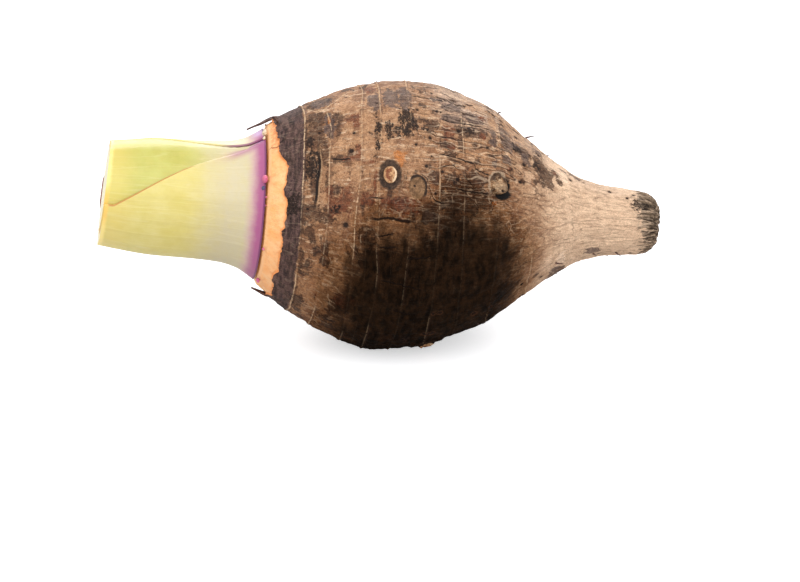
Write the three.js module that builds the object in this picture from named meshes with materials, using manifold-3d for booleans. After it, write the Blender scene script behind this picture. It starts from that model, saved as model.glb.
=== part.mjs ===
// A whole taro yam as lifted and trimmed: the swollen corm with its leaf-scar rings, side buds and
// tapering tail, and the cut stub of two wrapped leaf stalks that grows out of its crown.
//
// Millimetres, +Z up. +X runs from the cut stalks to the tail. The yam lies on its belly, on a
// small flat where its own weight has settled it, and the origin is the middle of its base.

import * as THREE from "three";
import { mergeVertices } from "three/addons/utils/BufferGeometryUtils.js";
import Module from "manifold-3d";

const wasm = await Module();
wasm.setup();

// ---------------------------------------------------------------- driving dimensions

const STALK_LENGTH = 63.5; // crown to knife cut, along the spine
const CUT_SLANT = 2.3; // degrees that the knife cut leans off square, its top towards the crown
const CUT_TURN = 4.3; // degrees that it is turned off square, its back towards the crown
const CORM_LENGTH = 169; // crown to the end of the tail
const BELLY_RADIUS = 55.2; // largest radius of the corm
const CROWN_RADIUS = 31; // the corm's flat face, where the leaf stalks stand
const SEAT_DEPTH = 2; // how much of the belly is flattened where it rests
const GAP = 0.3; // clearance between pieces that touch

// The line that the yam grew along, from the knife cut to the tail. It arches towards -Y at both
// ends, and it slopes, because the yam rests with its stalks raised.
const SPINE = new THREE.CatmullRomCurve3(
  [
    [-126, -10, 15.4],
    [-92, -5.4, 10.4],
    [-58, -2.2, 6],
    [0, 0, 0],
    [42, -0.5, -2.4],
    [84, -1.8, -4.8],
    [110, -3, -6.6],
  ].map(([x, y, z]) => new THREE.Vector3(x, y, z)),
);
const CROWN_AT = 67.8; // distance along the spine from its start to the crown

// Half of the corm's outline: station along the spine from the crown, and radius there.
const CORM_OUTLINE = outline([
  [0, 0],
  [0, 16],
  [0, CROWN_RADIUS],
  [2, 34.4],
  [9, 38.6],
  [19, 43.8],
  [34, 50.2],
  [47, 54.1],
  [59, BELLY_RADIUS],
  [72, 54.1],
  [85, 50.2],
  [95, 46.4],
  [105, 38.9],
  [115, 30.8],
  [125, 23.6],
  [135, 17.6],
  [145, 15],
  [155, 13.8],
  [162, 12.8],
  [166.6, 10.3],
  [168.6, 5.4],
  [CORM_LENGTH, 0],
]);
const CORM_SIDES = 60; // points round each ring of the corm
const CORM_ROWS = 42; // rings from crown to tail, before the leaf scars
const RIM_SHARE = 0.1; // share of the outline that is past the crown's flat face

// The belly sags below the spine just behind the crown, which is what the yam rests on.
const SAG = { share: 0.045, station: 40, reach: 26 };

// Rings left by shed leaves, as stations from the crown: closer together near it.
const LEAF_SCARS = [14.6, 24.2, 37, 45.6, 58.2, 70, 81.7, 99, 118, 137];
const SCAR_HEIGHT = 0.55;
const SCAR_HALF_WIDTH = 0.9;
const SCAR_WANDER = 0.7; // how far a ring strays from square to the spine

// Dormant side buds. The angle is in degrees from the top towards -Y.
const BUDS = [
  { station: 48.7, angle: 56, radius: 5.4, height: 1.2 },
  { station: 96.2, angle: 56, radius: 5, height: 2.4 },
  { station: 72, angle: 150, radius: 5.5, height: 1.6 },
  { station: 46, angle: 232, radius: 6, height: 1.8 },
  { station: 86, angle: 285, radius: 5.5, height: 2.2 },
  { station: 112, angle: 205, radius: 4.6, height: 1.8 },
  { station: 30, angle: 330, radius: 5, height: 1.3 },
];

// Outside of the stub of leaf stalks: distance from the crown, and radius there.
const STUB_OUTLINE = outline([
  [0, 31.6],
  [3.5, 29.2],
  [8, 26.8],
  [15, 25.1],
  [26, 24.4],
  [44, 24],
  [58, 22.5],
  [70, 20.8],
]);
const CUT_ALLOWANCE = 4; // how far the stub is grown past the cut before it is trimmed
const STALK_ROWS = 22; // rings from crown to cut
const WALL_SIDES = 30; // points along each face of the outer stalk's wall
const SLIT_SIDES = 14; // points of the inner stalk across the slit

// The outer stalk wraps the inner one with a wall that is thickest at its back, thins to its two
// margins, and opens between them along a slit that widens from the crown to the cut. The slit's
// middle and half width are in degrees, and flare is the power by which it widens.
const OUTER_STALK = {
  wall: 0.36, // thickness at the back, as a share of the stub's radius
  margin: 0.9,
  slit: { crown: [13, 2], cut: [27, 59], flare: 1.4 },
};
const INNER_STALK_PROUD = 0.4; // how far it stands past the outer one at the cut

// Bark starts at a torn edge a little way from the crown, and pale cortex shows before it. The
// edge runs through these stations, evenly spaced round the corm from the top towards -Y.
const TORN_EDGE = [
  4.3, 4.7, 4.1, 7.6, 8.3, 7.2, 7.8, 6.4, 7.4, 5.6, 6.8, 8.4, 7.2, 8.2, 6, 7.1, 5.4, 6.3, 4.6, 4.9,
];
const BARK_THICKNESS = 0.7;

// Papery remnants of old leaf bases that still cling to the torn edge. The tip is the distance
// from the spine that the free end reaches.
const REMNANTS = [
  { angle: -10, length: 13, width: 7, tip: 30.2 },
  { angle: 6, length: 3, width: 3, tip: 38.4 },
  { angle: 170, length: 8, width: 9, tip: 35 },
  { angle: 226, length: 9, width: 8, tip: 34.5 },
];
const REMNANT_THICKNESS = 0.6;

// ---------------------------------------------------------------- outlines and places

function outline(points) {
  return new THREE.SplineCurve(points.map(([station, radius]) => new THREE.Vector2(station, radius)));
}

// An outline's radius at a station, found by halving the stretch where its station only rises.
function radiusAt(curve, station, from = 0) {
  let low = from;
  let high = 1;
  for (let step = 0; step < 40; step++) {
    const middle = (low + high) / 2;
    if (curve.getPoint(middle).x < station) low = middle;
    else high = middle;
  }
  return curve.getPoint(low).y;
}

// Centre of the yam and its directions along, to the top and to the front, at a station.
function frameAt(station) {
  const share = THREE.MathUtils.clamp((CROWN_AT + station) / SPINE.getLength(), 0, 1);
  const along = SPINE.getTangentAt(share).normalize();
  const top = new THREE.Vector3(0, 0, 1).addScaledVector(along, -along.z).normalize();
  const front = new THREE.Vector3().crossVectors(along, top);
  return { centre: SPINE.getPointAt(share), along, top, front };
}

// The point that lies up and to the front of the spine by these distances.
function place({ centre, top, front }, up, forward) {
  return centre.clone().addScaledVector(top, up).addScaledVector(front, forward);
}

// The signed turn from one angle to another, in -PI to PI.
function turnFrom(from, to) {
  return THREE.MathUtils.euclideanModulo(to - from + Math.PI, 2 * Math.PI) - Math.PI;
}

// ---------------------------------------------------------------- solids

// A closed geometry from rings of points with one count, and the triangles that fill each end.
function loft(rings, cap) {
  const count = rings[0].length;
  const last = (rings.length - 1) * count;
  const index = [];
  for (let row = 0; row < last; row += count)
    for (let side = 0; side < count; side++) {
      const next = (side + 1) % count;
      index.push(row + side, row + next, row + count + side);
      index.push(row + next, row + count + next, row + count + side);
    }
  for (const [a, b, c] of cap) index.push(a, c, b, last + a, last + b, last + c);
  const positions = rings.flat().flatMap((point) => point.toArray());
  return new THREE.BufferGeometry()
    .setAttribute("position", new THREE.Float32BufferAttribute(positions, 3))
    .setIndex(index);
}

function asSolid(geometry) {
  const bare = geometry.clone().deleteAttribute("normal").deleteAttribute("uv");
  const merged = mergeVertices(bare, 1e-4);
  return new wasm.Manifold(
    new wasm.Mesh({
      numProp: 3,
      vertProperties: merged.attributes.position.array,
      triVerts: new Uint32Array(merged.index.array),
    }),
  );
}

function asMesh(name, solid, colour, roughness) {
  const { vertProperties, triVerts } = solid.getMesh();
  const geometry = new THREE.BufferGeometry()
    .setAttribute("position", new THREE.BufferAttribute(vertProperties, 3))
    .setIndex(new THREE.BufferAttribute(triVerts, 1));
  geometry.computeVertexNormals();
  const material = new THREE.MeshStandardMaterial({ color: colour, roughness, metalness: 0 });
  const mesh = new THREE.Mesh(geometry, material);
  mesh.name = name;
  return mesh;
}

// ---------------------------------------------------------------- the corm

// How far from the crown the bark is torn back to.
function tornStation(angle) {
  const count = TORN_EDGE.length;
  const place = THREE.MathUtils.euclideanModulo((angle / (2 * Math.PI)) * count, count);
  const before = Math.floor(place);
  return THREE.MathUtils.lerp(TORN_EDGE[before], TORN_EDGE[(before + 1) % count], place - before);
}

// The rings of the corm, each a function that gives the station and radius at an angle. Besides
// the evenly spaced ones there are two for the torn edge and three for the ridge of each leaf scar.
function cormRings() {
  const radius = (station) => radiusAt(CORM_OUTLINE, station, RIM_SHARE);
  const tornFrom = Math.min(...TORN_EDGE) - BARK_THICKNESS;
  const tornTo = Math.max(...TORN_EDGE) + BARK_THICKNESS;
  const scarReach = SCAR_HALF_WIDTH + SCAR_WANDER + 0.5;
  const crown = [];
  const wall = [];
  for (const { x, y } of CORM_OUTLINE.getSpacedPoints(CORM_ROWS).slice(1, -1)) {
    const bare = Math.min(BARK_THICKNESS, Math.max(y - CROWN_RADIUS, 0));
    const nearScar = LEAF_SCARS.some((scar) => Math.abs(x - scar) < scarReach);
    if (x < tornFrom) crown.push(() => [x, y - bare]);
    else if (x > tornTo && !nearScar) wall.push({ order: x, ring: () => [x, y] });
  }
  for (const scar of LEAF_SCARS)
    for (const side of [-1, 0, 1]) {
      const order = scar + side * SCAR_HALF_WIDTH;
      const ring = (angle) => {
        const station = order + SCAR_WANDER * Math.sin(angle + scar);
        return [station, radius(station) + (side ? 0 : SCAR_HEIGHT)];
      };
      wall.push({ order, ring });
    }
  wall.sort((a, b) => a.order - b.order);
  const torn = [-1, 1].map((side) => (angle) => {
    const station = tornStation(angle) + (side * BARK_THICKNESS) / 2;
    return [station, radius(station) - (side < 0 ? BARK_THICKNESS : 0)];
  });
  return [...crown, ...torn, ...wall.map(({ ring }) => ring)];
}

// Slow unevenness of growth, as a share of the radius.
function unevenness(station, angle) {
  return (
    0.014 * Math.sin(2 * angle + 0.05 * station + 0.6) +
    0.01 * Math.sin(3 * angle - 0.07 * station + 1.4) +
    0.006 * Math.sin(5 * angle + 0.11 * station)
  );
}

// Height that the side buds add at a place on the corm.
function budHeight(station, angle, radius) {
  return BUDS.reduce((sum, bud) => {
    const round = turnFrom(THREE.MathUtils.degToRad(bud.angle), angle) * radius;
    const away = Math.hypot(station - bud.station, round) / bud.radius;
    return sum + bud.height * Math.exp(-(away ** 4));
  }, 0);
}

// A point of the corm's skin.
function cormPoint(station, angle, radius) {
  const grown = Math.min(radius / 20, 1);
  const sag = SAG.share * Math.exp(-(((station - SAG.station) / SAG.reach) ** 2));
  const skin =
    radius * (1 + grown * unevenness(station, angle)) + grown * budHeight(station, angle, radius);
  const down = Math.cos(angle) < 0 ? 1 + sag : 1;
  return place(frameAt(station), Math.cos(angle) * skin * down, Math.sin(angle) * skin);
}

// A thin tongue of old leaf base that starts under the bark and narrows to a free end.
function remnantSolid({ angle, length, width, tip }) {
  const middle = THREE.MathUtils.degToRad(angle);
  const root = tornStation(middle) + 2;
  const radius = radiusAt(CORM_OUTLINE, root, RIM_SHARE) - 0.4;
  const rings = [0, 0.25, 0.5, 0.75, 1].map((share) => {
    const half = ((1 - 0.85 * share) * width) / 2 / radius;
    const lower = THREE.MathUtils.lerp(radius, tip, share);
    const upper = lower + REMNANT_THICKNESS;
    return [
      [-half, lower],
      [half, lower],
      [half, upper],
      [-half, upper],
    ].map(([turn, reach]) => cormPoint(root - length * share, middle + turn, reach));
  });
  const cap = [
    [0, 1, 2],
    [0, 2, 3],
  ];
  return asSolid(loft(rings, cap));
}

function makeCorm() {
  const angles = Array.from({ length: CORM_SIDES }, (_, side) => (side / CORM_SIDES) * 2 * Math.PI);
  const rings = cormRings().map((ring) =>
    angles.map((angle) => {
      const [station, radius] = ring(angle);
      return cormPoint(station, angle, radius);
    }),
  );
  const fan = Array.from({ length: CORM_SIDES - 2 }, (_, side) => [0, side + 1, side + 2]);
  const grown = REMNANTS.reduce(
    (solid, remnant) => solid.add(remnantSolid(remnant)),
    asSolid(loft(rings, fan)),
  );
  const lowest = grown.boundingBox().min[2];
  const table = new THREE.BoxGeometry(400, 400, 40).translate(0, 0, lowest + SEAT_DEPTH - 20);
  return asMesh("corm", grown.subtract(asSolid(table)), 0x8a6a4c, 0.85);
}

// ---------------------------------------------------------------- the leaf stalks

// The slit at a distance from the crown: its middle and half width, in radians.
function slitAt(distance) {
  const { crown, cut, flare } = OUTER_STALK.slit;
  const share = (distance / STALK_LENGTH) ** flare;
  return [0, 1].map((part) =>
    THREE.MathUtils.degToRad(THREE.MathUtils.lerp(crown[part], cut[part], share)),
  );
}

// Radius of the hollow in the outer stalk.
function hollowAt(distance, angle) {
  const radius = radiusAt(STUB_OUTLINE, distance);
  const [middle, half] = slitAt(distance);
  const past = Math.max(Math.abs(turnFrom(middle, angle)) - half, 0) / (Math.PI - half);
  const { wall, margin } = OUTER_STALK;
  return radius - margin - (wall * radius - margin) * Math.sin((past * Math.PI) / 2) ** 1.5;
}

// Angles round the wall, from one margin to the other, and on across the slit.
function wallAngles(distance) {
  const [middle, half] = slitAt(distance);
  const step = (2 * Math.PI - 2 * half) / (WALL_SIDES - 1);
  return Array.from({ length: WALL_SIDES }, (_, side) => middle + half + step * side);
}

function slitAngles(distance) {
  const [middle, half] = slitAt(distance);
  const step = (2 * half) / (SLIT_SIDES + 1);
  return Array.from({ length: SLIT_SIDES }, (_, side) => middle - half + step * (side + 1));
}

// Sections are drawn flat, with x to the top and y to the front. The outer stalk's runs along its
// outside from one margin to the other, then back along the hollow.
function outerSection(distance) {
  const radius = radiusAt(STUB_OUTLINE, distance);
  const angles = wallAngles(distance);
  const outside = angles.map((angle) => polar(angle, radius));
  const hollow = angles.map((angle) => polar(angle, hollowAt(distance, angle)));
  return [...outside, ...hollow.reverse()];
}

// The inner stalk fills the hollow, and shows in the slit.
function innerSection(distance) {
  return [...wallAngles(distance), ...slitAngles(distance)].map((angle) =>
    polar(angle, hollowAt(distance, angle) - GAP),
  );
}

function polar(angle, radius) {
  return new THREE.Vector2(Math.cos(angle), Math.sin(angle)).multiplyScalar(radius);
}

// A stalk is grown past the knife cut, then trimmed by it.
function makeStalk(name, section, proud, colour) {
  const grown = STALK_LENGTH + CUT_ALLOWANCE;
  const distances = Array.from(
    { length: STALK_ROWS + 1 },
    (_, row) => grown - ((grown - GAP) * row) / STALK_ROWS,
  );
  const sections = distances.map(section);
  const rings = sections.map((points, row) => {
    const frame = frameAt(-distances[row]);
    return points.map(({ x, y }) => place(frame, x, y));
  });
  const cap = THREE.ShapeUtils.triangulateShape(sections[0], []);
  const { centre, along, front } = frameAt(-STALK_LENGTH - proud);
  const knife = new THREE.Object3D();
  knife.up.copy(front);
  knife.position.copy(centre);
  knife.lookAt(centre.clone().add(along));
  knife.rotateY(THREE.MathUtils.degToRad(-CUT_SLANT));
  knife.rotateX(THREE.MathUtils.degToRad(-CUT_TURN));
  knife.updateMatrix();
  const waste = new THREE.BoxGeometry(120, 120, 20).translate(0, 0, -10).applyMatrix4(knife.matrix);
  return asMesh(name, asSolid(loft(rings, cap)).subtract(asSolid(waste)), colour, 0.4);
}

// ---------------------------------------------------------------- the yam

const yam = new THREE.Group();
yam.add(
  makeCorm(),
  makeStalk("outer_leaf_stalk", outerSection, 0, 0xdfe09a),
  makeStalk("inner_leaf_stalk", innerSection, INNER_STALK_PROUD, 0xd2dc78),
);

const box = new THREE.Box3().setFromObject(yam, true);
const middle = box.getCenter(new THREE.Vector3());
yam.position.set(-middle.x, -middle.y, -box.min.z);

const part = new THREE.Group().add(yam);

export default part;
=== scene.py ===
"""A whole taro yam: the swollen corm with its leaf-scar rings and side buds, and the cut stub of its
two wrapped leaf stalks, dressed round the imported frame. Metres, +Z up, +X towards the tail."""

from math import cos, pi, radians, sin

import bpy
import numpy as np
from bpy.props import FloatProperty, FloatVectorProperty, IntProperty, PointerProperty
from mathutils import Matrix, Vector, noise


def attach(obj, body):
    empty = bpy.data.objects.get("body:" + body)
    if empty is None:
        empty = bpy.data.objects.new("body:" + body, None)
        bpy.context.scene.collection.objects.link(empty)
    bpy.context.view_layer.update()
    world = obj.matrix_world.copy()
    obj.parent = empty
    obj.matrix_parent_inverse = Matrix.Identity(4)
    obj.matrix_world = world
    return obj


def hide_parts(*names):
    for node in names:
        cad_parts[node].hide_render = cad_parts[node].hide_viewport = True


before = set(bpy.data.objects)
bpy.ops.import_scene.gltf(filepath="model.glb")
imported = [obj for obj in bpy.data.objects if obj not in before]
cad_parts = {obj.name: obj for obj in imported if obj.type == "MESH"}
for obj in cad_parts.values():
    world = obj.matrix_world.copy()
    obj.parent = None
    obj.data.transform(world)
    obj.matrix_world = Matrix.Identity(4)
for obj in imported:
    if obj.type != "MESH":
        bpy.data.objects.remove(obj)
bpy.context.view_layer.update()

bl_info = {
    "name": "Taro Yam",
    "version": (1, 0, 0),
    "blender": (4, 5, 0),
    "location": "3D View > Sidebar > Taro Yam",
    "description": "Builds a whole taro yam with its trimmed leaf stalks, piece by piece",
    "category": "Add Mesh",
}

MM = 0.001  # lengths below are in millimetres until a mesh is made
FLOOR_GAP = 0.02  # how far the lowest skin stays above the floor


# ---------------------------------------------------------------- curves


def curve(points, power=0.0, steps=64):
    """Points along a smooth curve through these ones. A power of a quarter spaces its knots by the
    square root of their distances, and carries its ends on straight."""
    points = np.asarray(points, float)
    first, last = points[0], points[-1]
    if power:
        first, last = 2 * points[0] - points[1], 2 * points[-1] - points[-2]
    knots = np.vstack([first, points, last])
    share = np.linspace(0, 1, steps, endpoint=False)[:, None]
    parts = []
    for a, b, c, d in zip(knots, knots[1:], knots[2:], knots[3:]):
        before, here, after = (np.sum((q - p) ** 2) ** power for p, q in ((a, b), (b, c), (c, d)))
        leave = here * ((b - a) / before - (c - a) / (before + here) + (c - b) / here)
        reach = here * ((c - b) / here - (d - b) / (here + after) + (d - c) / after)
        bend = (3 * (c - b) - 2 * leave - reach) * share**2
        bend += (2 * (b - c) + leave + reach) * share**3
        parts.append(b + leave * share + bend)
    return np.vstack([*parts, points[-1:]])


def unit(vectors):
    return vectors / np.linalg.norm(vectors, axis=-1, keepdims=True)


def smooth(low, high, value):
    """0 below low, 1 above high, and a soft step between them. low may be above high."""
    share = np.clip((value - low) / (high - low), 0, 1)
    return share * share * (3 - 2 * share)


def turn(angle, to):
    """The signed turn in radians from an angle in degrees to one in radians."""
    return (to - np.radians(angle) + pi) % (2 * pi) - pi


# ---------------------------------------------------------------- the line that the yam grew along

SPINE_ORIGIN = np.array((8.4361, 0.8381, 54.9628))  # where the spine passes the middle of the belly
SPINE = SPINE_ORIGIN + curve(
    [
        (-126, -10, 15.4),
        (-92, -5.4, 10.4),
        (-58, -2.2, 6),
        (0, 0, 0),
        (42, -0.5, -2.4),
        (84, -1.8, -4.8),
        (110, -3, -6.6),
    ],
    power=0.25,
    steps=200,
)
SPINE_LENGTHS = np.append(0, np.cumsum(np.linalg.norm(np.diff(SPINE, axis=0), axis=1)))
SPINE_TANGENTS = unit(np.gradient(SPINE, SPINE_LENGTHS, axis=0))
CROWN_AT = 67.8  # distance along the spine from its start to the crown


def frames(station):
    """Centre of the yam and its directions along, to the top and to the front, at a station."""
    at = CROWN_AT + np.asarray(station, float)
    centre, along = (
        np.stack([np.interp(at, SPINE_LENGTHS, axis) for axis in table.T], -1)
        for table in (SPINE, SPINE_TANGENTS)
    )
    along = unit(along)
    top = unit(np.array((0.0, 0.0, 1.0)) - along * along[..., 2:])
    return centre, along, top, np.cross(along, top)


def place(station, up, forward):
    """The point that lies up and to the front of the spine by these distances."""
    centre, _, top, front = frames(station)
    return centre + top * np.asarray(up)[..., None] + front * np.asarray(forward)[..., None]


# ---------------------------------------------------------------- the corm's own sizes

CORM_OUTLINE = curve(
    [
        *((0, 0), (0, 16), (0, 31), (2, 34.4), (9, 38.6), (19, 43.8), (34, 50.2), (47, 54.1)),
        *((59, 55.2), (72, 54.1), (85, 50.2), (95, 46.4), (105, 38.9), (115, 30.8), (125, 23.6)),
        *((135, 17.6), (145, 15), (155, 13.8), (162, 12.8), (166.6, 10.3), (168.6, 5.4), (169, 0)),
    ]
)
CORM_WALL = CORM_OUTLINE[2 * 64 :]  # the outline past the crown's flat face
SAG = {"share": 0.045, "station": 40, "reach": 26}

# Leaf scars: the station of each ring, and how far it strays from there at angles in degrees from
# the top towards -Y.
SCARS = [14.5, 24.2, 37, 45.6, 57.8, 70, 81.2, 96.4, 112, 136]
SCAR_STRAYS = {
    14.5: ((-5, -0.3), (16, 0.3), (31, -0.3), (61, -0.3), (120, 0.4), (220, -0.5)),
    24.2: ((16, -0.5), (29, 1.0), (42, 0.1), (72, 0.6), (150, -0.4), (250, 0.5)),
    37: ((0, 1.9), (19, 0.5), (45, -0.2), (65, -0.7), (77, -1.3), (86, -0.9), (200, 0.4)),
    45.6: ((-15, 0.2), (3, 0.1), (21, -0.5), (60, -0.8), (89, -0.5), (97, 0.7), (220, 0.3)),
    57.8: ((-12, 0.4), (3, -0.2), (60, 0.4), (150, -0.8), (260, 0.8)),
}
# Where a ring shows as a pale line: ring, from, to, how strongly.
SCAR_ARCS = [
    *((14.5, -20, 64, 0.95), (14.5, 64, 84, 0.35), (24.2, 16, 33, 0.8), (24.2, 38, 74, 0.6)),
    *((24.2, 78, 100, 0.3), (37, -14, 24, 0.5), (37, 24, 60, 0.35), (37, 60, 96, 0.6)),
    *((45.6, -18, 24, 0.65), (45.6, 30, 50, 0.25), (45.6, 62, 82, 0.25), (45.6, 86, 104, 0.5)),
    *((57.8, -22, 6, 0.7), (57.8, 12, 30, 0.2), (57.8, 84, 112, 0.3), (70, 46, 64, 0.55)),
    *((70, 67, 82, 0.5), (81.2, 14, 43, 0.5), (81.2, 63, 84, 0.35), (96.4, 14, 30, 0.35)),
    *((112, 18, 32, 0.4), (136, -10, 22, 0.3)),
    *((14.5, 112, 230, 0.8), (14.5, 262, 330, 0.9), (24.2, 130, 176, 0.7), (24.2, 240, 300, 0.6)),
    *((37, 140, 250, 0.8), (37, 290, 338, 0.6), (45.6, 128, 190, 0.7), (45.6, 230, 310, 0.8)),
    *((57.8, 150, 214, 0.7), (57.8, 250, 326, 0.6), (70, 120, 160, 0.6), (70, 214, 300, 0.7)),
    *((81.2, 170, 246, 0.6), (81.2, 280, 340, 0.6), (96.4, 130, 200, 0.5), (96.4, 240, 320, 0.5)),
    *((112, 100, 170, 0.4), (112, 230, 300, 0.5), (136, 120, 210, 0.35)),
]

# Where the bark is torn back to, evenly spaced round the corm from the top towards -Y.
TORN_EDGE = [
    *(2.9, 3.1, 3.4, 3.9, 4.4, 7.4, 8.0, 6.9, 8.1, 8.4),
    *(7.2, 7.6, 7.8, 7.1, 6.4, 6.9, 7.4, 6.5, 5.6, 6.2),
    *(6.8, 7.6, 8.4, 7.8, 7.2, 7.7, 8.2, 7.1, 6, 6.5),
    *(7.1, 6.2, 5.4, 5.8, 6.3, 5.4, 4.6, 4.7, 4.9, 3.6),
]

# Side buds: station, angle, radius, height, and what is left of each.
BUDS = [
    (48.7, 56, 5.4, 1.2, "healed"),
    (96.2, 56, 5.0, 2.2, "broken"),
    (60.6, 61, 4.4, 0.0, "sunken"),
    (72, 150, 5.5, 1.6, "healed"),
    (46, 232, 6.0, 1.8, "broken"),
    (86, 285, 5.5, 2.2, "healed"),
    (112, 205, 4.6, 1.8, "broken"),
    (30, 330, 5.0, 1.3, "healed"),
    (58, 190, 5.0, 0.0, "sunken"),
    (99, 318, 4.4, 0.0, "sunken"),
]
BUD_KINDS = ("healed", "sunken", "broken")

# Old skin and stains on the cork: station, angle, half length along, half width round.
STAINS = {
    "dark": [
        *((19, 20, 3.9, 4.8), (19, 33, 4.2, 4.9), (27.3, 22, 2.7, 3.5), (27.9, 31, 1.2, 4.1)),
        *((32.7, 44.5, 1.5, 2.3), (31, 48, 2.4, 1.2)),
        *((21.9, 46, 2.1, 4.5), (27.5, 47.3, 2.7, 2.2), (27.3, 63, 2.1, 2.1), (29.1, 74, 3.6, 3.7)),
        *((19, 75, 5.3, 3.7), (67.7, 29, 3.6, 2.6), (67.1, 33, 2.1, 1.4), (74.8, 40, 3, 2)),
        *((68.3, 56, 2.1, 2.8), (74.2, 57, 2.4, 2.5), (76.6, 67, 5.3, 7.2), (66.5, 71, 4.8, 4.2)),
        *((52.8, 68, 4.2, 2.4), (59.4, 31, 1.2, 3.3), (86.7, 29, 4.8, 3), (80.2, 37, 1.2, 4.1)),
        *((79, 30, 1.8, 2.2), (86.1, 37, 1.2, 1.4), (75.4, 44, 3.3, 1.3), (87.3, 46, 1.2, 1.6)),
        *((101.6, 46, 1.2, 2), (106.3, 27, 4.4, 3.2), (114.7, 29, 3.2, 5), (117, 36, 4, 5.4)),
        *((106.3, 49, 1.2, 0.9), (112.3, 46, 1.2, 1.1), (121.8, 26, 2.1, 1.9), (123.6, 34, 1.8, 1.5)),
        *((76, 59, 5.1, 3.5), (86.1, 55, 5.3, 3.6), (77.2, 66, 6.5, 4.6), (87.9, 64, 4.2, 4)),
        *((80.5, 63, 9.5, 7.5), (84, 30, 6.4, 3.3), (63.4, 27, 2.6, 1.9), (22.6, 58, 1.6, 3.6)),
        *((76, 75, 5.1, 4.2), (99.2, 7, 1.2, 4.8), (25.5, 75, 4.5, 3.1), (41, 83, 4.2, 3.8)),
        *((65.9, 84, 1.8, 3.6), (43.3, 92, 5.3, 3.9), (54, 91, 7.7, 2.6), (55.2, 96, 8.6, 3.5)),
        *((68.3, 84, 3.6, 1.7), (41.6, 95, 3, 2.7), (57.6, 106, 7.4, 5.9), (60, 128, 5.3, 8.4)),
    ],
    "grey": [
        *((24.3, 27, 2.1, 6.9), (42.7, 14, 2.4, 7.5), (49.9, 13, 3.3, 9), (55.8, 12, 3, 9.1)),
        *((77.2, 15, 4.8, 2.8), (77.2, 23, 4.8, 2.2), (22.5, 3, 4.8, 5.7), (70.7, 11, 3, 1.7)),
        *((86.1, 19, 4.2, 3.5), (94.4, 27, 1.2, 3.4), (93.9, 33, 1.5, 2.2), (99.8, 20, 2.7, 4.1)),
        *((99.8, 30, 2.4, 3.8), (94.4, 45, 0.9, 2), (99.8, 41, 2.1, 2.1), (108.1, 32, 2.1, 2.9)),
        *((104, 27, 2.1, 1.8), (67.7, 73, 3.3, 2.1), (64.7, 73, 1.8, 2.7), (112.3, 2, 0.6, 3.1)),
        *((116, 14, 3.2, 2.2), (119.5, 4, 3.6, 2.4), (126, 12, 2.4, 1.6), (131.5, 4, 3.4, 1.8)),
    ],
    "red": [
        *((33.8, 25, 3.3, 2.5), (35, 29, 1.5, 1.9), (42.1, 0, 2.1, 4.2), (35.6, 44, 1.5, 2.3)),
        *((30.9, 48, 2.1, 0.9), (34.4, 48, 2.4, 1.4), (40.4, 50, 2.7, 0.8), (31.5, 66, 2.4, 3.7)),
        *((40.4, 67, 3, 2.6), (42.7, 59, 0.6, 4.8), (75.4, 32, 3, 3.8), (54, 69, 8, 3.7)),
        *((33.8, 74, 1.2, 2.4), (53.4, 74, 2.4, 0.8), (33.8, 60, 1.8, 2.4), (74.8, 31, 3.3, 2)),
        *((28.5, 71, 5.2, 3.6), (24.5, 65, 2.2, 3.2)),
        *((76, 40, 2.1, 1.4), (90.3, 17, 1.8, 1.7), (92.1, 37, 0.6, 0.7), (89.7, 31, 1.2, 1.6)),
        *((121.8, 26, 0.9, 1.8), (100.4, 45, 0.9, 1), (73.6, 36, 1.2, 0.7)),
    ],
    "black": [
        *((17.4, 49, 2.3, 5.2), (43.9, 33, 1.2, 3.7), (43.9, 42, 1.2, 2), (48.4, 34, 2, 3.7)),
        *((51.5, 35, 2.2, 2.5), (56.2, 26, 2.7, 3.3), (57.6, 31, 2.9, 2.6), (56.4, 35, 2.1, 1.7)),
        *((78.4, 57, 1.2, 1.8), (64.1, 33, 1.8, 1), (10.6, 71, 2.4, 3.7), (16.6, 35, 1.2, 2.3)),
        *((70.1, 20, 1.8, 1), (112.9, 32, 1.5, 1.4), (104.6, 28, 1.8, 1.6), (159.2, 35, 3, 2.7)),
        *((83.7, 29, 2.1, 1.7), (27.9, 72, 1.8, 1.2)),
    ],
    "tan": [
        *((31.5, 32, 2.1, 4.2), (28.5, 41, 3.3, 3.8), (39.8, 29, 2.7, 6.6), (40.4, 43, 2.7, 5.9)),
        *((34.4, 56, 2.7, 5.2), (21.9, 58, 1.2, 4.6), (22.5, 67, 1.8, 2.4), (47.5, 43, 3, 4.3)),
        *((28.5, 55, 2.7, 3.6), (35, 75, 1.8, 2.9), (32, 12, 4.8, 6.6), (48.7, 25, 3.3, 4.2)),
        *((61.8, 46, 3.3, 3), (59.4, 52, 5.1, 2.3), (61.2, 35, 4.8, 1), (64.1, 23, 2.7, 2.9)),
        *((88.5, 6, 5.1, 5.5), (94.4, 14, 2.1, 7.2), (87.3, 42, 5.1, 1.7), (83.7, 35, 2.1, 1.5)),
        *((103.4, 8, 6, 8.3), (104, 41, 2.4, 4.8), (109.3, 44, 2.1, 2.6), (90.9, 49, 3.6, 1.6)),
        *((121.2, 10, 4.8, 6.8), (126.5, 22, 2.4, 3.7), (102.8, 53, 1.2, 1.2), (30.3, 76, 2.4, 2.3)),
        *((53.4, 78, 8.3, 2.5), (54, 83, 8.9, 2.3)),
    ],
    "orange": [
        *((52.8, 47, 2.7, 2.3), (53.4, 51, 0.9, 1.8), (24.3, 23, 0.6, 1.8), (94.4, 65, 1.2, 1)),
    ],
}

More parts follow.
